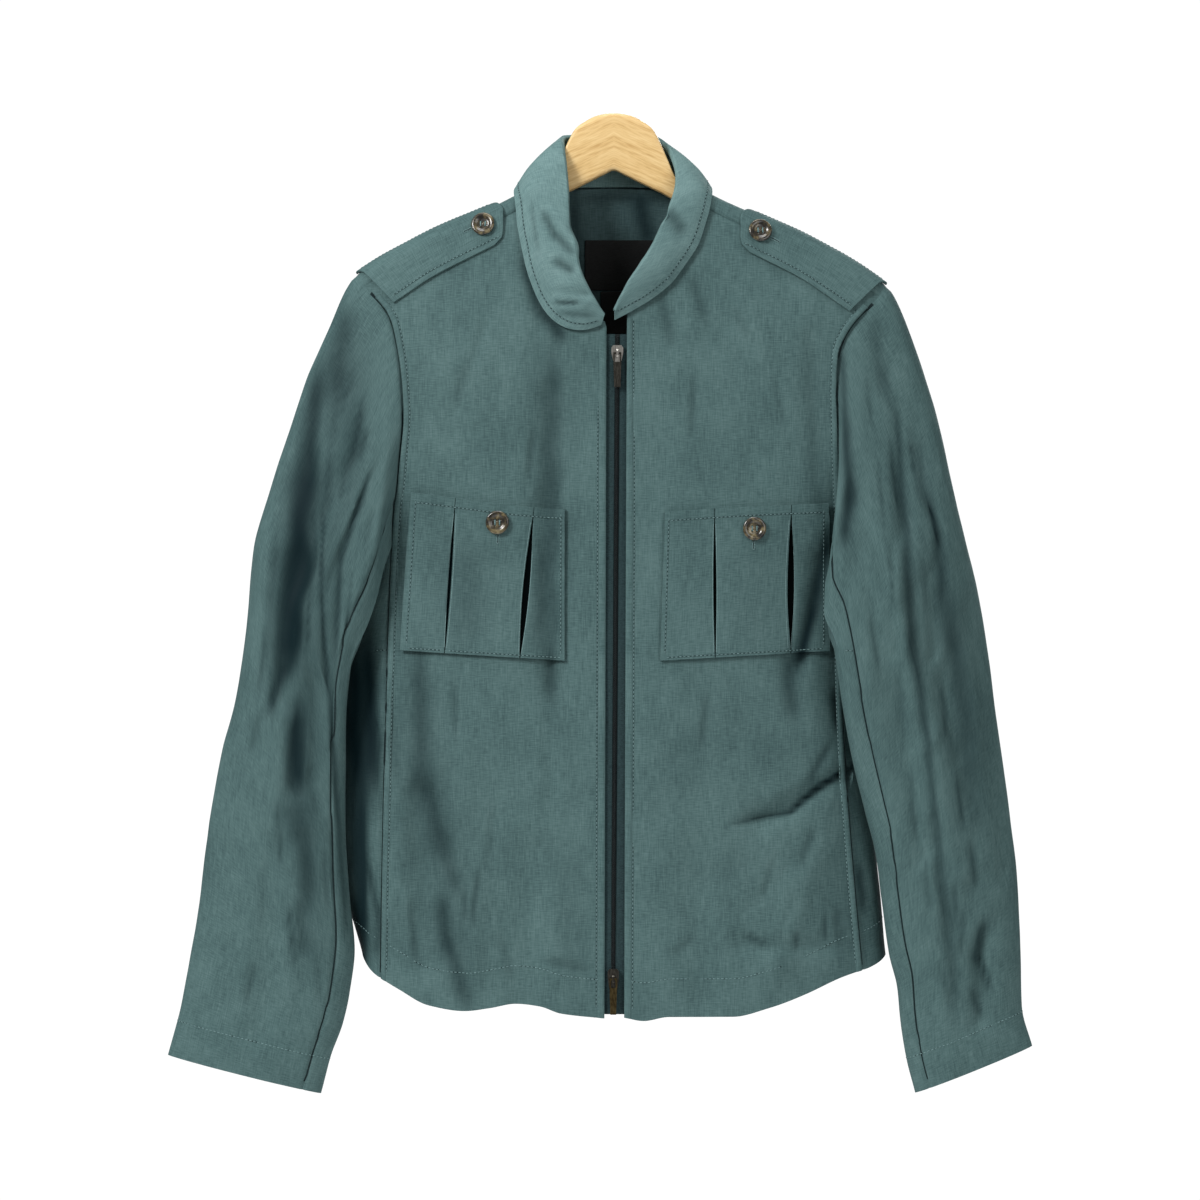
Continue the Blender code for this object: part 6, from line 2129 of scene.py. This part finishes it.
def make_hanger():
    """Wooden arms with rounded edges, carried from tip to tip."""
    stations = [(-x, top, bottom, thick) for x, top, bottom, thick in reversed(HANGER[1:])] + list(HANGER)
    line = catmull([Vector(station[:3]) for station in stations], 4)
    widths = [(station[0], station[3]) for station in stations]
    size = HANGER_SIDES
    points = []
    for x, top, bottom in line:
        thick = curve(widths, x)
        for k in range(size):
            angle = 2 * math.pi * k / size
            y = rounded(math.cos(angle), HANGER_SQUARE[0]) * thick
            up = rounded(math.sin(angle), HANGER_SQUARE[1]) * ((top - bottom) / 2)
            points.append(Vector((x, y, (top + bottom) / 2 + up)))
    faces = []
    end = (len(line) - 1) * size
    for a in range(0, end, size):
        for n in range(size):
            m = (n + 1) % size
            faces.append((a + n, a + size + n, a + size + m, a + m))
    faces.append(tuple(range(size)))
    faces.append(tuple(end + n for n in reversed(range(size))))
    shown_as(mesh_object("hanger_wood", points, faces, (BEECH,), None, 60.0), "hanger")


def make_label(name, x0, x1, z0, z1):
    """A blank woven label inside the back."""

    def place(v, s):
        x = mix(x0, x1, s)
        z = mix(z0, z1, v)
        normal = back_normal(x, z)
        base = back_point(x, z) - normal * (CLOTH + LABEL_GAP)
        ripple = LABEL_RIPPLE * noise.noise(Vector((x / 9.0, z / 7.0, 2.0)))
        return base - normal * (LABEL_WALL + ripple), base

    piece = grid_patch(name + "_cloth", *two_grids(LABEL_ROWS, LABEL_COLUMNS, place), (LABEL,))
    soften(shown_as(piece, name), 0.3)


def band_beside(rows_edge_first, profile, name):
    """A raised strip along an edge of a front, from lines that start at that edge."""
    outer = []
    inner = []
    for line in rows_edge_first:
        outer_row = []
        inner_row = []
        for away, height in profile:
            point = walk(line, away)
            normal = front_normal(point.x, point.z)
            bumped = point + normal * drape(point)
            outer_row.append(bumped + normal * height)
            inner_row.append(bumped - normal * 0.9)
        outer.append(outer_row)
        inner.append(inner_row)
    piece = grid_patch(name, outer, inner, (LINEN, LINEN_INSIDE), 80.0)
    return piece


def between(a, b, count):
    return [(mix(a[0], b[0], k / count), mix(a[1], b[1], k / count)) for k in range(count + 1)]


def sew_torso(trees, sewing):
    """Rows of stitches on the body: hem, zip edges, armholes and panel seams."""

    def sew_hem(rows):
        hem = [walk([row[k] for row in rows], HEM_STITCH) for k in range(2, len(rows[0]) - 1, 3)]
        sewing.line(trees.near(hem), groove=False)

    def seam_shade_line(rows, edge):
        path = trees.near([row[edge] for row in rows[1:-1:2]])
        # Painted shade of the seam's ditch, as a dark strip
        sewing.ribbon(path, SEAM_SHADE_WIDTH, HOLE_AND_SEAM_SHADE, SEAM_SHADE_LIFT)

    backs = GRIDS["back"]
    for side, word in ((LEFT, "left"), (RIGHT, "right")):
        fronts = GRIDS["front_" + word]
        sew_hem(fronts)
        sew_hem(GRIDS["side_" + word])
        sewing.line(trees.near([walk(row, ZIP_STITCH) for row in fronts[2:-2:3]]))
        sewing.line(trees.near([walk(row[::-1], SEAM_STITCH) for row in fronts[2:-1:3]]))
        seam_shade_line(fronts, -1)
        edge = -1 if side.sign > 0 else 0
        sewing.line(trees.near([walk(row[::-1] if edge else row, SEAM_STITCH) for row in backs[2:-1:3]]))
        seam_shade_line(backs, edge)
    sew_hem(backs)
    for x0, x1 in SIDE_TACKS:
        sewing.line(trees.dropped(between((x0, -405.0), (x1, -405.5), 6)))


def sew_sleeves(trees, sewing):
    for word in ("left", "right"):
        rings = RINGS[word]
        columns = range(0, len(rings[0]), 3)
        cuff = [walk([ring[k] for ring in reversed(rings)], CUFF_STITCH) for k in columns]
        sewing.line(trees.near(cuff + cuff[:1]), groove=False)
        for number in (FRONT_SEAM_POINT, BACK_SEAM_POINT):
            path = trees.near([ring[number] for ring in rings[2:-1:2]])
            # Painted shade of the sleeve seam's ditch, as a dark strip
            sewing.ribbon(path, SEAM_SHADE_WIDTH / 2, HOLE_AND_SEAM_SHADE, SEAM_SHADE_LIFT)


def sew_collar(trees, sewing):
    sewing.line(trees.near([walk(row, COLLAR_STITCH) for row in GRIDS["collar"][3:-3:2]]))


def sew_strap(side, trees, sewing):
    for far in (False, True):
        points = []
        for k in range(1, 40):
            part = k / 40
            c = STRAP_STITCH / (curve(EPAULETTE_WIDTH, part) + EPAULETTE_BEHIND)
            point, normal = strap_point(side, part, 1 - c if far else c)
            points.append(point + normal * (EPAULETTE_LIFT + EPAULETTE_WALL))
        sewing.line(trees.near(points))


def sew_pocket(pocket, trees, sewing):
    """Rows round a pocket and along its hem, and the folded lips of its slits."""

    def spot_on(v, s):
        left, right, place = pocket_frame(pocket, v)
        x = mix(left, right, s)
        return x, place(x)

    low = POCKET_STITCH_LOW / abs(pocket.bottom[0][1] - pocket.top[0][1])
    near = POCKET_STITCH_SIDE / abs(pocket.bottom[1][0] - pocket.bottom[0][0])
    for s in (near, 1 - near):
        sewing.line(trees.dropped([spot_on(k / 24, s) for k in range(1, 24)]), False)
    sewing.line(trees.dropped([spot_on(low, k / 30) for k in range(1, 30)]), False)
    sewing.line(trees.dropped([spot_on(POCKET_HEM_PART + 0.004, k / 30) for k in range(1, 30)]))
    for number in range(len(pocket.slits)):
        for way in (-1, 1):
            lip = []
            for k in range(1, 30):
                v = POCKET_HEM_PART * k / 30
                middle, half = slits_at(pocket, v)[number]
                x = middle + way * (half + SLIT_ROUND)
                lip.append((x, pocket_frame(pocket, v)[2](x)))
            sewing.ribbon(trees.dropped(lip), LIP_WIDTH, THREAD, 0.1)


def bevel_node(name, look, width):
    """A rigid solid of the model keeps its shape, with worn edges and its finish."""
    node = bpy.data.objects[name]
    node.data.materials.clear()
    node.data.materials.append(look)
    soften(node, width, 3, 30.0)


def make_stage():
    """Pale floor, soft light and the camera at the photograph's angle."""
    scene = bpy.context.scene
    floor_points = [Vector((0.0, 0.0, FLOOR_Z))] + circle(FLOOR_RADIUS, FLOOR_SIDES, FLOOR_Z)
    floor_faces = [(0, k + 1, (k + 1) % FLOOR_SIDES + 1) for k in range(FLOOR_SIDES)]
    floor = plain_object("floor", floor_points, floor_faces)
    look = Look("pale_floor", 0.8)
    look.put(look.shader, ("Base Color", (0.85, 0.85, 0.85, 1.0)))
    floor.data.materials.append(look.material)
    for name, place, size, power in LIGHTS:
        light = bpy.data.lights.new(name, "AREA")
        light.shape = "RECTANGLE"
        light.size = size[0]
        light.size_y = size[1]
        light.energy = power
        lamp = bpy.data.objects.new(name, light)
        lamp.location = place
        lamp.rotation_euler = (LIGHT_AIM - Vector(place)).to_track_quat("-Z", "Y").to_euler()
        scene.collection.objects.link(lamp)
    world = bpy.data.worlds.new("soft_white")
    world.use_nodes = True
    tree = world.node_tree
    soft = tree.nodes["Background"]
    soft.inputs["Color"].default_value = (1.0, 1.0, 1.0, 1.0)
    soft.inputs["Strength"].default_value = AMBIENT
    white = tree.nodes.new("ShaderNodeBackground")
    white.inputs["Strength"].default_value = BACKDROP
    path = tree.nodes.new("ShaderNodeLightPath")
    pick = tree.nodes.new("ShaderNodeMixShader")
    tree.links.new(path.outputs["Is Camera Ray"], pick.inputs["Fac"])
    tree.links.new(soft.outputs[0], pick.inputs[1])
    tree.links.new(white.outputs[0], pick.inputs[2])
    tree.links.new(pick.outputs[0], tree.nodes["World Output"].inputs["Surface"])
    scene.world = world
    scene.view_settings.view_transform = "Standard"
    lens = bpy.data.cameras.new("camera")
    lens.sensor_width = SENSOR
    lens.lens = SENSOR * (CLOTH_PLANE - CAMERA.y) / PICTURE_WIDTH
    camera = bpy.data.objects.new("camera", lens)
    camera.location = CAMERA * MM
    camera.rotation_euler = (math.pi / 2, 0.0, 0.0)
    scene.collection.objects.link(camera)
    scene.camera = camera


def main():
    torso = make_torso_and_sleeves()
    collar = make_collar()
    pockets = [make_pocket("pocket_left", POCKET_LEFT), make_pocket("pocket_right", POCKET_RIGHT)]
    straps = [make_strap("epaulette_left", LEFT), make_strap("epaulette_right", RIGHT)]
    bands = []
    for word in ("left", "right"):
        fronts = GRIDS["front_" + word]
        bands.append(band_beside([row[::-1] for row in fronts[:-1:2]], SEAM_BAND, "seam_band_" + word))
        bands.append(band_beside(fronts[::2], ZIP_BAND, "zip_band_" + word))
    make_zip()
    make_hanger()
    sewing = Sewing()
    for name, corners in LABELS:
        make_label(name, *corners)
    sew_torso(Trees(torso + bands), sewing)
    sew_sleeves(Trees([piece for piece in torso if piece.name.startswith("sleeve")]), sewing)
    sew_collar(Trees([collar]), sewing)
    for side, strap in zip((LEFT, RIGHT), straps):
        sew_strap(side, Trees([strap]), sewing)
    for pocket, piece in zip((POCKET_LEFT, POCKET_RIGHT), pockets):
        sew_pocket(pocket, Trees([piece]), sewing)
    dressed = Trees(torso + pockets + straps)
    for name, x, z in BUTTONS:
        if "epaulette" in name:
            point = over_shoulder(x, BUTTON_EPAULETTE_ARC)
            normal = shoulder_normal(x, BUTTON_EPAULETTE_ARC)
            lift = EPAULETTE_LIFT + EPAULETTE_WALL + BUTTON_CROWN + BUTTON_GAP
            way = Vector((math.copysign(1.0, x), 0.0, -0.5))
            make_buttonhole(dressed, x + math.copysign(12.0, x), z - 5.5, way, sewing)
        else:
            point = front_point(x, z)
            normal = front_normal(x, z, 8.0)
            lift = PATCH_LIFT + POCKET_WALL + POCKET_PLEAT * (1 + PLEAT_CROWN) + BUTTON_GAP
            make_buttonhole(dressed, x, z - 12.0, Vector((0.0, 0.0, 1.0)), sewing)
        make_button(name, point + normal * lift, normal, sewing)
    sewing.finish("stitches")
    bevel_node("slider_top", SILVER, 0.4)
    bevel_node("slider_bottom", GUNMETAL, 0.4)
    bevel_node("zip_pull_top", GUNMETAL, 0.3)
    bevel_node("zip_pull_bottom", BRONZE, 0.3)
    make_stage()


main()
